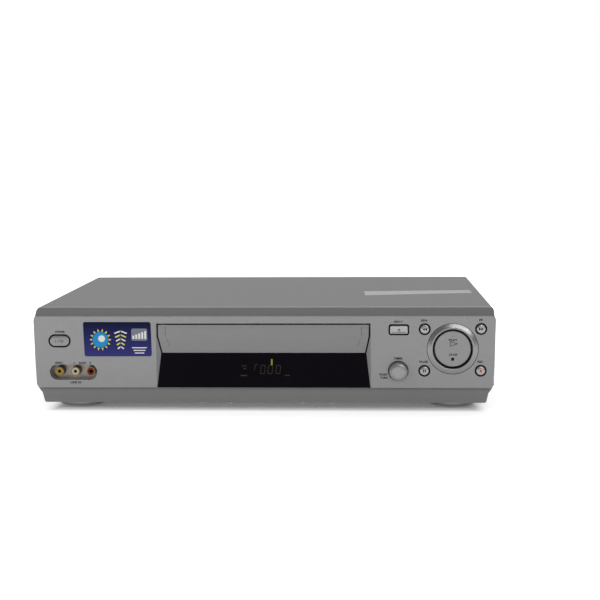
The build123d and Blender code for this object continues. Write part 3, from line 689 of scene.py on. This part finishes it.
def onCoverEdgeHighlight(face):
    place, reach = facePlane + coverEdge["d"] * mm, coverEdge["width"] * mm
    low, high = coverEdge["rise"]
    leans = low < face.normal.z < high and face.normal.y < coverEdge["forward"]
    return leans and abs(face.center.y - place) < reach


softPieces = {name: softenedCopy(name, width) for name, width in softEdges.items()}
softPieces["timer_dial_knob"].data.materials[0] = materials["dialSilver"]
# the door takes the darker plastic: painted shade
softPieces["cassette_door"].data.materials[0] = materials["doorShadedPlastic"]
# the plinth's faces take the darker plastic: painted shade
tintFaces(softPieces["front_panel"], plinthShade["finish"], inPlinthShade)
# the cover's rounded edge takes the lighter paint: a painted highlight
tintFaces(softPieces["top_cover"], coverEdge["finish"], onCoverEdgeHighlight)
print("outside shapes softened:", len(softPieces))

# the ring round the play and stop key, turned from its section
ringTrim = {
    "x": 176.4, "z": 59.6, "steps": 160,
    "section": [   # radius, distance behind the face
        (23.7, 0.26), (23.6, 0.17), (20.35, -1.05), (19.95, -1.17), (19.25, -1.2),
        (18.8, -1.08), (18.6, -0.85),
    ],
}


def buildRingTrim(settings):
    section = settings["section"]
    back = (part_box("ring_trim")[1].y - facePlane) / mm
    section = section + [(section[-1][0], back), (section[0][0], back)]
    bm = bmesh.new()
    loops = []
    for i in range(settings["steps"]):
        angle = 2 * pi * i / settings["steps"]
        loops.append([
            bm.verts.new(at(settings["x"] + r * cos(angle), d, settings["z"] + r * sin(angle)))
            for r, d in section
        ])
    for near, far in zip(loops, loops[1:] + loops[:1]):
        joinLoops(bm, near, far)
    mesh = evenShading(meshFrom(bm, "ringTrimTurned", softening["turnedBelow"]))
    standFor(newPiece("ringTrimTurned", mesh, "ring_metal", bodyOfNode["ring_trim"]), "ring_trim")


buildRingTrim(ringTrim)


# flat shapes are outlines of (x, z) points in millimetres, given a thickness
def roundedOutline(x, z, width, height, radius, steps=6):
    outline = []
    for turn, (sx, sz) in enumerate(((1, 1), (-1, 1), (-1, -1), (1, -1))):
        cx, cz = x + sx * (width / 2 - radius), z + sz * (height / 2 - radius)
        for step in range(steps + 1):
            angle = (turn + step / steps) * pi / 2
            outline.append((cx + radius * cos(angle), cz + radius * sin(angle)))
    return outline


def dotOutline(x, z, radius, steps=24):
    angles = [2 * pi * i / steps for i in range(steps)]
    return [(x + radius * cos(angle), z + radius * sin(angle)) for angle in angles]


def wedgeOutline(x, z, length, height):
    # a triangle that points to +x, or to -x for a negative length
    return [(x, z - height / 2), (x + length, z), (x, z + height / 2)]


def strokeOutlines(points, width):
    outlines = []
    for (x0, z0), (x1, z1) in zip(points, points[1:]):
        along = hypot(x1 - x0, z1 - z0)
        ux, uz = (x1 - x0) / along * width / 2, (z1 - z0) / along * width / 2
        outlines.append([
            (x0 - ux + uz, z0 - uz - ux), (x1 + ux + uz, z1 + uz - ux),
            (x1 + ux - uz, z1 + uz + ux), (x0 - ux - uz, z0 - uz + ux),
        ])
    return outlines


def flatShape(name, outlines, frontOf, thick, materialName, body="chassis"):
    bm = bmesh.new()
    for outline in outlines:
        front = [bm.verts.new(at(x, frontOf(x, z), z)) for x, z in outline]
        back = [bm.verts.new(at(x, frontOf(x, z) + thick, z)) for x, z in outline]
        bm.faces.new(front)
        bm.faces.new(back[::-1])
        joinLoops(bm, back, front)
    bmesh.ops.triangulate(bm, faces=[f for f in bm.faces if len(f.verts) > 4])
    return newPiece(name, meshFrom(bm, name), materialName, body)


def sleeve(name, outer, inner, front, back, materialName, body="chassis"):
    # a closed tube between two outlines with the same count of points
    bm = bmesh.new()
    loops = [
        [bm.verts.new(at(x, d, z)) for x, z in outline]
        for outline, d in ((outer, front), (inner, front), (inner, back), (outer, back))
    ]
    for near, far in zip(loops, loops[1:] + loops[:1]):
        joinLoops(bm, near, far)
    return newPiece(name, meshFrom(bm, name, softening["turnedBelow"]), materialName, body)


# black guides line the gaps round the keys, the ring and the dial; flush with the face, they are
# partly real guides and partly painted shade in those gaps
gapShadeGuides = {   # middle x and z, width, height, corner, front, back
    "powerKeyGuide": (-191.7, 67.1, 21.2, 12.6, 6.3, 0.06, 5.0),
    "ejectKeyGuide": (126.5, 77.6, 19.2, 10.4, 2.4, 0.06, 5.0),
    "rewindKeyGuide": (150.4, 78.1, 11.2, 11.2, 5.6, 0.06, 5.0),
    "forwardKeyGuide": (202.5, 78.3, 11.2, 11.2, 5.6, 0.06, 5.0),
    "pauseKeyGuide": (150.2, 39.0, 11.2, 11.2, 5.6, 0.06, 5.0),
    "recordKeyGuide": (202.4, 39.1, 11.2, 11.2, 5.6, 0.06, 5.0),
    "playStopGuide": (176.4, 59.6, 37.2, 37.2, 18.6, -0.5, 4.0),
    "dialGuide": (126.0, 38.8, 19.0, 19.0, 9.5, 0.06, 4.6),
    "ringSeatGapShade": (176.4, 59.6, 48.0, 48.0, 24.0, -0.03, 0.6),
}
gapShadeGuideWalls = {"usual": 0.7, "ringSeatGapShade": 0.34, "clearance": 0.03}


def buildGapShadeGuides(settings, walls):
    clear = walls["clearance"]
    for name, (x, z, width, height, corner, front, back) in settings.items():
        wall = walls.get(name, walls["usual"])
        steps = 14 if corner > 4 else 6
        outer = roundedOutline(x, z, width - 2 * clear, height - 2 * clear, corner - clear, steps)
        inner = roundedOutline(x, z, width - 2 * wall, height - 2 * wall, corner - wall, steps)
        sleeve(name, outer, inner, front, back, "guideBlackGapShade")


buildGapShadeGuides(gapShadeGuides, gapShadeGuideWalls)

# the recess round the door and the window: height and depth at each bend, and half its width
recess = {"bends": [(22.4, 0.3), (55.0, 4.0), (71.6, 0.5), (83.5, 0.5)], "halfWidth": 100.5}
doorSealGapShade = {"thick": 0.3, "front": 0.7, "back": 5.5, "bottom": 55.4, "clearance": 0.02}
grooves = {
    "width": 0.45, "point": 0.55, "proud": 0.03, "thick": 0.12,
    "points": [(91.8, 79.2), (91.8, 73.3), (88.5, 62.4)],
}


def recessDepth(x, z):
    bends = recess["bends"]
    for (lowZ, lowDepth), (highZ, highDepth) in zip(bends, bends[1:]):
        if z < highZ:
            break
    return lowDepth + (highDepth - lowDepth) * (z - lowZ) / (highZ - lowZ)


def buildDoorSealGapShade(settings):
    # a black lining on the two cheeks and the top of the door's opening: painted shade in the gap
    # round the door
    (bendZ, bendDepth), (topZ, topDepth) = recess["bends"][2:]
    thick, clear = settings["thick"], settings["clearance"]
    top, halfTop = topZ - clear, recess["halfWidth"] - topDepth
    outlines = []
    for side in (-1, 1):
        edge = [
            (side * (recess["halfWidth"] - recessDepth(0, z) - clear), z)
            for z in (settings["bottom"], bendZ, top)
        ]
        outlines.append(edge + [(x - side * thick, z) for x, z in reversed(edge)])
    low = top - thick
    outlines.append([(-halfTop, low), (halfTop, low), (halfTop, top), (-halfTop, top)])
    flatShape(
        "doorSealGapShade", outlines, lambda x, z: settings["front"] + recessDepth(x, z) - bendDepth,
        settings["back"] - settings["front"], "guideBlackGapShade",
    )


def buildGrooves(settings):
    # the fine bent line near each end of the door, with a dot at its corners
    outlines = []
    bend = recess["bends"][2][0]
    for side in (-1, 1):
        points = [(side * x, z) for x, z in settings["points"]]
        (x0, z0), (x1, z1) = points[1:]
        middle = (x0 + (x1 - x0) * (z0 - bend) / (z0 - z1), bend)
        outlines += strokeOutlines([points[0], points[1], middle, points[2]], settings["width"])
        outlines += [dotOutline(x, z, settings["point"], 12) for x, z in points]
    flatShape(
        "doorGrooves", outlines, lambda x, z: recessDepth(x, z) - settings["proud"],
        settings["thick"], "grooveShade", "door",
    )


buildDoorSealGapShade(doorSealGapShade)
buildGrooves(grooves)

ejectDish = {
    "x": 126.5, "z": 77.6, "width": 16.4, "height": 7.6, "corner": 1.0, "least": 0.3, "taper": 0.4,
    "loops": [   # inset, distance behind the face
        (0.10, 0.4), (0.10, -0.70), (0.35, -0.98), (0.75, -1.04), (1.15, -0.90), (2.2, -0.87),
    ],
}


def buildEjectDish(settings):
    # a raised rim and a shallow dish on the eject key
    bm = bmesh.new()
    loops = []
    for inset, d in settings["loops"]:
        corner = max(settings["corner"] - inset * settings["taper"], settings["least"])
        outline = roundedOutline(
            settings["x"], settings["z"], settings["width"] - 2 * inset,
            settings["height"] - 2 * inset, corner, 5,
        )
        loops.append([bm.verts.new(at(x, d, z)) for x, z in outline])
    for near, far in zip(loops, loops[1:]):
        joinLoops(bm, near, far)
    bm.faces.new(loops[0][::-1])
    bm.faces.new(loops[-1])
    mesh = meshFrom(bm, "ejectDish", softening["turnedBelow"])
    newPiece("ejectDish", mesh, "bright_key", "eject_key")


buildEjectDish(ejectDish)

discFront = -0.3
symbols = {
    "keyFront": -0.8,   # before its crown
    "proud": 0.03,
    "thick": 0.12,
    "stroke": 0.45,
    "marks": {
        "rewind": {"x": 150.4, "z": 78.1, "body": "rewind_key", "node": "rewind_button"},
        "forward": {
            "x": 202.5, "z": 78.3, "body": "fast_forward_key", "node": "fast_forward_button",
        },
        "pause": {"x": 150.2, "z": 39.0, "body": "pause_key", "node": "pause_button"},
        "record": {
            "x": 202.4, "z": 39.1, "body": "record_key", "node": "record_button",
            "ink": "recordRed",
        },
        "eject": {"x": 126.6, "z": 77.4, "body": "eject_key", "front": -0.87, "ink": "faintInk"},
        "power": {
            "x": -191.7, "z": 67.0, "body": "power_key", "node": "power_button", "ink": "faintInk",
        },
        "play": {"x": 177.2, "z": 64.4, "body": "play_stop_rocker", "front": discFront},
        "stop": {"x": 176.4, "z": 50.0, "body": "play_stop_rocker", "front": discFront},
    },
}


def symbolOutlines(x, z, stroke):
    # the outlines of each symbol, were it at this place
    return {
        "rewind": [wedgeOutline(x, z, -2.2, 2.9), wedgeOutline(x + 2.2, z, -2.2, 2.9)],
        "forward": [wedgeOutline(x, z, 2.2, 2.9), wedgeOutline(x - 2.2, z, 2.2, 2.9)],
        "pause": [roundedOutline(x + s * 0.9, z, 1.05, 2.8, 0.1, 2) for s in (-1, 1)],
        "record": [dotOutline(x, z, 1.25)],
        "eject": [
            [(x - 1.5, z - 0.1), (x + 1.5, z - 0.1), (x, z + 1.5)],
            roundedOutline(x, z - 0.9, 3.0, 0.6, 0.1, 2),
        ],
        "power": (
            strokeOutlines([(x - 3.4, z - 1.1), (x - 3.4, z + 1.1)], stroke)
            + strokeOutlines([(x - 1.3, z - 1.1), (x + 0.1, z + 1.1)], stroke)
            + strokeOutlines(dotOutline(x + 2.4, z, 1.1, 20) + [(x + 3.5, z)], stroke)
        ),
        "play": strokeOutlines(
            [(x - 3.2, z - 2.1), (x + 3.6, z), (x - 3.2, z + 2.1), (x - 3.2, z - 2.1)], 0.5
        ),
        # the dot near the top edge of the round key goes with the square
        "stop": [roundedOutline(x, z, 2.8, 2.8, 0.15, 2), dotOutline(x, z + 21.6, 0.4, 12)],
    }


def buildSymbols(settings):
    for name, mark in settings["marks"].items():
        outlines = symbolOutlines(mark["x"], mark["z"], settings["stroke"])[name]
        rise = sum(step for width, step in crowns.get(mark.get("node"), []))
        front = mark.get("front", settings["keyFront"] - rise) - settings["proud"]
        flatShape(
            name + "Symbol", outlines, lambda x, z: front, settings["thick"],
            mark.get("ink", "symbolInk"), mark["body"],
        )


buildSymbols(symbols)

legends = {
    "capHeight": 2.1,
    "proud": 0.03,
    "thick": 0.1,
    "boldness": 0.034,
    "weld": 0.000001,
    "words": {   # text, middle x, middle z, width
        "chassis": [
            ("EJECT", 126.2, 84.9, 8.4), ("REW", 150.0, 86.2, 6.0), ("FF", 202.3, 86.6, 3.2),
            ("PAUSE", 149.6, 47.5, 8.0), ("REC", 202.0, 47.5, 5.2), ("TIMER", 125.9, 50.6, 8.4),
            ("PUSH", 112.1, 35.4, 7.0), ("TURN", 112.5, 32.4, 6.8), ("POWER", -191.0, 75.6, 9.0),
            ("VIDEO", -193.2, 46.2, 7.6), ("L", -178.1, 46.2, 1.2), ("AUDIO", -170.5, 46.2, 7.4),
            ("R", -162.9, 46.2, 1.4), ("LINE IN", -177.3, 27.6, 10.0),
        ],
        "play_stop_rocker": [("PLAY", 176.8, 68.0, 7.8), ("STOP", 176.9, 54.1, 7.8)],
    },
}


def textMesh(text, boldness):
    curve = bpy.data.curves.new("legend", "FONT")
    curve.body = text
    curve.resolution_u = 3
    curve.offset = boldness
    mesh = evaluatedMesh(linked("legend", curve))
    bpy.data.curves.remove(curve)
    return mesh


def addWord(bm, settings, word, front):
    text, x, z, width = word
    flat = textMesh(text, settings["boldness"])
    xs, ys = [v.co.x for v in flat.vertices], [v.co.y for v in flat.vertices]
    across = width / (max(xs) - min(xs))
    up = settings["capHeight"] / (max(ys) - min(ys))
    before = len(bm.verts)
    bm.from_mesh(flat)
    bm.verts.ensure_lookup_table()
    for vertex in bm.verts[before:]:
        vertex.co = at(
            x + (vertex.co.x - (max(xs) + min(xs)) / 2) * across, front,
            z + (vertex.co.y - (max(ys) + min(ys)) / 2) * up,
        )
    bpy.data.meshes.remove(flat)


def buildLegends(settings):
    # one piece of lettering for each body that carries words
    for body, words in settings["words"].items():
        bm = bmesh.new()
        front = (0 if body == "chassis" else discFront) - settings["proud"]
        for word in words:
            addWord(bm, settings, word, front)
        bmesh.ops.remove_doubles(bm, verts=bm.verts, dist=settings["weld"])
        copied = bmesh.ops.extrude_face_region(bm, geom=list(bm.faces))["geom"]
        backs = [item for item in copied if isinstance(item, bmesh.types.BMVert)]
        bmesh.ops.translate(bm, verts=backs, vec=(0, settings["thick"] * mm, 0))
        name = "legends" + "".join(part.capitalize() for part in body.split("_"))
        newPiece(name, meshFrom(bm, name), "symbolInk", body)


buildLegends(legends)
print("guides, seal, grooves, symbols and legends ready")

display = {
    "proud": 0.03,
    "thick": 0.1,
    "stroke": 0.6,
    "slant": 0.10,
    "gap": 0.5,   # where two segments meet
    "figures": [(-0.6, 39.7), (6.4, 39.7), (13.8, 39.7)],   # middles of three noughts
    "figureSize": (3.9, 7.6),
    "cornerMark": [(-8.6, 39.4), (-7.6, 44.2), (-5.4, 44.2)],
    "cornerStroke": 0.55,
    "bar": (7.8, 46.6, 1.5, 5.6),
    "smallMarks": [
        (-18.2, 43.0, 4.8, 0.7), (-17.6, 40.6, 2.2, 1.2), (-18.4, 34.0, 6.2, 1.1),
        (22.4, 34.2, 4.6, 0.9),
    ],
}


def noughtSegments(halfWide, halfHigh, gap):
    segments = []
    for side in (-1, 1):
        for low, high in ((-halfHigh + gap, -gap), (gap, halfHigh - gap)):
            segments.append([(side * halfWide, low), (side * halfWide, high)])
        segments.append([(-halfWide + gap, side * halfHigh), (halfWide - gap, side * halfHigh)])
    return segments


def buildDisplay(settings):
    # dim figures and one lit bar in the black window
    def front(x, z):
        return recessDepth(x, z) - settings["proud"]

    wide, high = settings["figureSize"]
    outlines = []
    for x, z in settings["figures"]:
        for segment in noughtSegments(wide / 2, high / 2, settings["gap"]):
            leaned = [(x + px + pz * settings["slant"], z + pz) for px, pz in segment]
            outlines += strokeOutlines(leaned, settings["stroke"])
    outlines += strokeOutlines(settings["cornerMark"], settings["cornerStroke"])
    outlines += [roundedOutline(*mark, 0.2, 2) for mark in settings["smallMarks"]]
    thick = settings["thick"]
    flatShape("dimFigures", outlines, front, thick, "dimSegment")
    bar = [roundedOutline(*settings["bar"], 0.3, 3)]
    flatShape("litBar", bar, front, thick, "litSegment")


buildDisplay(display)

# bent lips of the rear panel that close the slits beside it, inside the cover
rearLips = {
    "inner": 211.9, "outer": 213.85, "bottom": 37.2, "top": 93.2, "front": 286.9, "thick": 0.8,
    "corner": 0.6,
}


def buildRearLips(settings):
    inner, outer = settings["inner"], settings["outer"]
    bottom, top = settings["bottom"], settings["top"]
    outlines = [
        roundedOutline(
            side * (outer + inner) / 2, (bottom + top) / 2, outer - inner, top - bottom,
            settings["corner"], 4,
        )
        for side in (-1, 1)
    ]
    flatShape(
        "rearPanelLips", outlines, lambda x, z: settings["front"], settings["thick"], "zinc_steel"
    )


buildRearLips(rearLips)

# a generic pattern of a rayed disc, chevrons, a stepped panel and lines
sticker = {
    "corners": [(-168.2, 52.3), (-104.6, 52.5), (-105.3, 84.9), (-169.2, 85.0)],
    "corner": 2.0,
    "proud": 0.08,
    "layer": 0.03,
    "sunk": 0.02,
    "disc": {
        "x": -153.0, "z": 68.2, "radius": 7.4, "rays": 14,
        "tip": 1.42, "foot": 1.08, "footTurn": 0.13,   # shares of the radius, and radians
        "core": (-151.8, 69.2, 3.2),
    },
    "waves": {
        "x": -133.8, "z": 60.0, "width": 10.5, "count": 5, "step": 3.6, "least": 0.45,
        "rise": 2.0, "stroke": 1.25,
    },
    "panel": {"x": -116.2, "z": 73.0, "width": 15.0, "height": 11.5, "corner": 1.6},
    "steps": {
        "count": 5, "left": -5.6, "pitch": 2.8, "half": 0.9, "bottom": -4.0, "top": -1.0,
        "rise": 1.1,
    },
    "lines": {
        "x": -116.2, "z": 60.6, "width": 14.0, "thick": 0.9, "count": 3, "step": 2.5,
        "shorter": 2.6,
    },
}


def stickerOutline(corners, radius, steps=6):
    # the four corners, rounded
    outline = []
    for i, (x, z) in enumerate(corners):
        ways = []
        for px, pz in (corners[i - 1], corners[(i + 1) % len(corners)]):
            far = hypot(px - x, pz - z)
            ways.append(((px - x) / far, (pz - z) / far))
        (backX, backZ), (onX, onZ) = ways
        cx, cz = x + radius * (backX + onX), z + radius * (backZ + onZ)
        first = atan2(-onZ, -onX)
        for step in range(steps + 1):
            angle = first + step / steps * pi / 2
            outline.append((cx + radius * cos(angle), cz + radius * sin(angle)))
    return outline


def rayOutlines(disc):
    x, z, radius = disc["x"], disc["z"], disc["radius"]

    def spot(share, angle):
        return (x + radius * share * cos(angle), z + radius * share * sin(angle))

    rays = []
    for i in range(disc["rays"]):
        angle, turn = 2 * pi * i / disc["rays"], disc["footTurn"]
        low, high = spot(disc["foot"], angle - turn), spot(disc["foot"], angle + turn)
        rays.append([low, spot(disc["tip"], angle), high])
    return rays


def waveOutlines(waves, which):
    outlines = []
    x, last = waves["x"], waves["count"] - 1
    for i in range(waves["count"]):
        if i % 2 == which:
            z = waves["z"] + i * waves["step"]
            half = waves["width"] / 2 * (waves["least"] + (1 - waves["least"]) * i / last)
            points = [(x - half, z), (x, z + waves["rise"]), (x + half, z)]
            outlines += strokeOutlines(points, waves["stroke"])
    return outlines


def stepOutlines(panel, steps):
    outlines = []
    for i in range(steps["count"]):
        x, z = panel["x"] + steps["left"] + i * steps["pitch"], panel["z"]
        left, right = x - steps["half"], x + steps["half"]
        low, high = z + steps["bottom"], z + steps["top"] + steps["rise"] * i
        outlines.append([(left, low), (right, low), (right, high), (left, high)])
    return outlines


def buildSticker(settings):
    disc, waves, panel = settings["disc"], settings["waves"], settings["panel"]
    lines, proud = settings["lines"], settings["proud"]
    rows = [
        roundedOutline(
            lines["x"], lines["z"] - i * lines["step"], lines["width"] - lines["shorter"] * i,
            lines["thick"], 0.2, 2,
        )
        for i in range(lines["count"])
    ]
    board = roundedOutline(panel["x"], panel["z"], panel["width"], panel["height"], panel["corner"])
    field = stickerOutline(settings["corners"], settings["corner"])
    middle = dotOutline(disc["x"], disc["z"], disc["radius"], 40)
    layers = (
        ("stickerField", [field], "stickerBlue", 0),
        ("stickerRays", rayOutlines(disc), "stickerYellow", 1),
        ("stickerDisc", [middle], "stickerCyan", 1),
        ("stickerDiscCore", [dotOutline(*disc["core"], 28)], "stickerWhite", 2),
        ("stickerChevrons", waveOutlines(waves, 1), "stickerYellow", 1),
        ("stickerBars", waveOutlines(waves, 0), "stickerWhite", 1),
        ("stickerPanel", [board], "stickerGrey", 1),
        ("stickerSteps", stepOutlines(panel, settings["steps"]), "stickerWhite", 2),
        ("stickerLines", rows, "stickerWhite", 1),
    )
    for name, outlines, materialName, level in layers:
        front = -proud - level * settings["layer"]
        thick = proud + settings["sunk"]
        flatShape(name, outlines, lambda x, z: front, thick, materialName)


buildSticker(sticker)
print("display, rear lips and sticker ready")

coverStrip = {
    "top": 98.1,
    "thick": 0.12,
    "corners": [(95.3, 139.2), (95.9, 103.0), (205.0, 124.0), (204.6, 149.4)],   # x, d
    "mark": (104.4, 13.2, 0.7, 12),
    "markBefore": 20,
}


def buildCoverStrip(settings):
    # a pale strip and a small dark mark, both flush with the cover's top
    high = settings["top"]
    low = high - settings["thick"]
    bm = bmesh.new()
    for outline in (settings["corners"], dotOutline(*settings["mark"])):
        under, over = ([bm.verts.new(at(x, d, z)) for x, d in outline] for z in (low, high))
        bm.faces.new(under)
        bm.faces.new(over[::-1])
        joinLoops(bm, over, under)
    mesh = meshFrom(bm, "coverStrip")
    piece = newPiece("coverStrip", mesh, "paleLabel", "chassis")
    tintFaces(piece, "symbolInk", lambda f: f.center.y < facePlane + settings["markBefore"] * mm)


buildCoverStrip(coverStrip)
print("cover strip ready")


# what repeats is made by node trees: screw heads, connector threads and chip pins
def newTree(name, *labels):
    # a tree with these number inputs, the points to work on and a material
    tree = bpy.data.node_groups.new(name, "GeometryNodeTree")
    kinds = {"Geometry": "Geometry", "Seed": "Int", "Material": "Material"}
    for label in ("Geometry", *labels, "Material"):
        kind = "NodeSocket" + kinds.get(label, "Float")
        tree.interface.new_socket(label, in_out="INPUT", socket_type=kind)
    tree.interface.new_socket("Geometry", in_out="OUTPUT", socket_type="NodeSocketGeometry")
    return tree, addNode(tree, "NodeGroupInput").outputs


def finishTree(tree, given, instance, turn):
    # one instance on each point, then plain geometry with its material
    placed = addNode(tree, "GeometryNodeInstanceOnPoints", {
        "Points": given["Geometry"], "Instance": instance, "Rotation": turn,
    })
    plain = addNode(tree, "GeometryNodeRealizeInstances", {"Geometry": placed})
    dressed = addNode(tree, "GeometryNodeSetMaterial", {
        "Geometry": plain, "Material": given["Material"],
    })
    addNode(tree, "NodeGroupOutput", {"Geometry": dressed})
    return tree


def facingTurn(tree, axis, pivot="AUTO"):
    facing = addNode(
        tree, "GeometryNodeInputNamedAttribute", {"Name": "facing"}, data_type="FLOAT_VECTOR"
    )
    return addNode(
        tree, "FunctionNodeAlignRotationToVector", {"Vector": facing}, axis=axis, pivot_axis=pivot
    )


def vectorOf(tree, x, y, z):
    return addNode(tree, "ShaderNodeCombineXYZ", {"X": x, "Y": y, "Z": z})


def scaled(tree, value, factor):
    return addNode(tree, "ShaderNodeMath", {0: value, 1: factor}, operation="MULTIPLY")


def boxAt(tree, size, place):
    cube = addNode(tree, "GeometryNodeMeshCube", {"Size": vectorOf(tree, *size)})
    return addNode(
        tree, "GeometryNodeTransform", {"Geometry": cube, "Translation": vectorOf(tree, *place)}
    )


# a screw's shape in shares of its radius, and where the boxes of a pin sit in shares of its reach
screwShares = {"top": 0.74, "slotLength": 1.15, "slotWidth": 0.22, "slotDepth": 2.0}
pinShares = {"shoulder": 0.3, "leg": 0.8, "foot": 1.2}


def screwTree():
    # a chamfered head with a crossed recess, turned at random about its own axis
    tree, given = newTree("screwHeads", "Radius", "Height", "Recess", "Seed")
    radius, height = given["Radius"], given["Height"]
    head = addNode(tree, "GeometryNodeMeshCone", {
        "Vertices": 24, "Radius Top": scaled(tree, radius, screwShares["top"]),
        "Radius Bottom": radius, "Depth": height,
    })
    long = scaled(tree, radius, screwShares["slotLength"])
    wide = scaled(tree, radius, screwShares["slotWidth"])
    deep = scaled(tree, given["Recess"], screwShares["slotDepth"])
    slots = [
        boxAt(tree, (x, y, deep), (0.0, 0.0, height)) for x, y in ((long, wide), (wide, long))
    ]
    cut = addNode(
        tree, "GeometryNodeMeshBoolean", {"Mesh 1": head, "Mesh 2": slots}, operation="DIFFERENCE"
    )
    anyTurn = addNode(
        tree, "FunctionNodeRandomValue", {2: 0.0, 3: pi, "Seed": given["Seed"]}, data_type="FLOAT"
    )
    spin = addNode(
        tree, "FunctionNodeEulerToRotation", {"Euler": vectorOf(tree, 0.0, 0.0, anyTurn)}
    )
    turn = addNode(
        tree, "FunctionNodeRotateRotation",
        {"Rotation": facingTurn(tree, "Z"), "Rotate By": spin}, rotation_space="LOCAL",
    )
    return finishTree(tree, given, cut, turn)


def threadTree():
    # a wire wound in a spiral along the facing direction
    tree, given = newTree("connectorThreads", "Radius", "Wire", "Length", "Turns")
    spiral = addNode(tree, "GeometryNodeCurveSpiral", {
        "Resolution": 24, "Rotations": given["Turns"], "Start Radius": given["Radius"],
        "End Radius": given["Radius"], "Height": given["Length"],
    })
    wire = addNode(
        tree, "GeometryNodeCurvePrimitiveCircle", {"Resolution": 6, "Radius": given["Wire"]},
        mode="RADIUS",
    )
    thread = addNode(tree, "GeometryNodeCurveToMesh", {
        "Curve": spiral, "Profile Curve": wire, "Fill Caps": True,
    })
    return finishTree(tree, given, thread, facingTurn(tree, "Z"))


def pinTree():
    # a bent pin: a shoulder out of the chip, a leg and a foot on the board
    tree, given = newTree("chipPins", "Width", "Thickness", "Drop", "Reach")
    width, thick, drop, reach = (given[i] for i in ("Width", "Thickness", "Drop", "Reach"))
    out = {part: scaled(tree, reach, share) for part, share in pinShares.items()}
    flat, upright = (reach, width, thick), (thick, width, drop)
    shoulder = boxAt(tree, flat, (out["shoulder"], 0.0, drop))
    leg = boxAt(tree, upright, (out["leg"], 0.0, scaled(tree, drop, 0.5)))
    foot = boxAt(tree, flat, (out["foot"], 0.0, scaled(tree, thick, 0.5)))
    pin = addNode(
        tree, "GeometryNodeMeshBoolean", {"Mesh 2": [shoulder, leg, foot]}, operation="UNION"
    )
    return finishTree(tree, given, pin, facingTurn(tree, "X", "Z"))


def repeated(name, tree, places, values, materialName):
    # places: (x, d, z, facing), in millimetres; the tree's result becomes a plain mesh
    points = bpy.data.meshes.new(name + "Points")
    points.from_pydata([at(x, d, z) for x, d, z, facing in places], [], [])
    facings = points.attributes.new("facing", "FLOAT_VECTOR", "POINT")
    for i, place in enumerate(places):
        facings.data[i].vector = place[3]
    holder = linked(name + "Points", points)
    modifier = holder.modifiers.new("repeat", "NODES")
    modifier.node_group = tree
    sockets = {
        item.name: item.identifier for item in tree.interface.items_tree
        if item.item_type == "SOCKET" and item.in_out == "INPUT"
    }
    for label, value in {**values, "Material": materials[materialName]}.items():
        modifier[sockets[label]] = value
    bm = bmesh.new()
    bm.from_mesh(evaluatedMesh(holder))
    return newPiece(name, meshFrom(bm, name), materialName, "chassis")


backward, upward, downward = (0, 1, 0), (0, 0, 1), (0, 0, -1)
screws = {
    "coverScrewHeads": {
        "radius": 3.2, "height": 1.8, "recess": 1.3, "seed": 3, "finish": "bright_steel",
        "places": [(x, 287.8, z, backward) for x in (-200, 200) for z in (82.6, 36.6)],
    },
    "rearPanelScrews": {
        "radius": 2.5, "height": 1.4, "recess": 1.0, "seed": 5, "finish": "bright_steel",
        "places": [
            (x, 287.75, z, backward)
            for x, z in ((-100, 91), (0, 91), (100, 91), (-60, 16), (60, 16), (196, 60))
        ],
    },
    "undersideScrews": {
        "radius": 3.0, "height": 1.3, "recess": 0.9, "seed": 7, "finish": "bright_steel",
        "places": [(x, d, 7.65, downward) for x in (-100, 0, 96) for d in (120, 268)],
    },
    "mainBoardScrews": {
        "radius": 2.8, "height": 1.5, "recess": 1.0, "seed": 9, "finish": "zinc_steel",
        "places": [(x, d, 16.55, upward) for x in (-100, 0, 96) for d in (120, 268)],
    },
    "supplyBoardScrews": {
        "radius": 2.8, "height": 1.5, "recess": 1.0, "seed": 11, "finish": "zinc_steel",
        "places": [(x, d, 20.55, upward) for x in (-196, -124) for d in (100, 236)],
    },
}
threads = {
    "radius": 4.72, "wire": 0.26, "length": 7.6, "turns": 8.0, "finish": "bright_steel",
    "places": [(178, 290.9, z, backward) for z in (38.6, 64.6)],
}
chipPins = {
    "width": 0.46, "thickness": 0.22, "drop": 1.3, "reach": 0.8, "pitch": 1.27, "boardTop": 16.6,
    "finish": "bright_steel", "margin": 2,
    "chips": [   # middle x and d, width, length
        (-60, 130, 24, 24), (-20, 122, 14, 20), (120, 150, 30, 30), (160, 200, 20, 30),
        (130, 240, 26, 18),
    ],
}


def sizesOf(settings, *labels):
    return {label.capitalize(): settings[label] * mm for label in labels}


def buildScrews(settings):
    tree = screwTree()
    for name, kind in settings.items():
        values = {**sizesOf(kind, "radius", "height", "recess"), "Seed": kind["seed"]}
        piece = repeated(name, tree, kind["places"], values, kind["finish"])
        if name == "coverScrewHeads":
            standFor(piece, "cover_screws")


def buildThreads(settings):
    values = {**sizesOf(settings, "radius", "wire", "length"), "Turns": settings["turns"]}
    repeated("aerialThreads", threadTree(), settings["places"], values, settings["finish"])


def buildChipPins(settings):
    places = []
    for x, d, width, length in settings["chips"]:
        count = int((length - settings["margin"]) / settings["pitch"])
        for side in (-1, 1):
            for i in range(count):
                along = (i - (count - 1) / 2) * settings["pitch"]
                places.append((x + side * width / 2, d + along, settings["boardTop"], (side, 0, 0)))
    values = sizesOf(settings, "width", "thickness", "drop", "reach")
    repeated("chipPins", pinTree(), places, values, settings["finish"])


buildScrews(screws)
buildThreads(threads)
buildChipPins(chipPins)
print("screws, threads and pins ready")
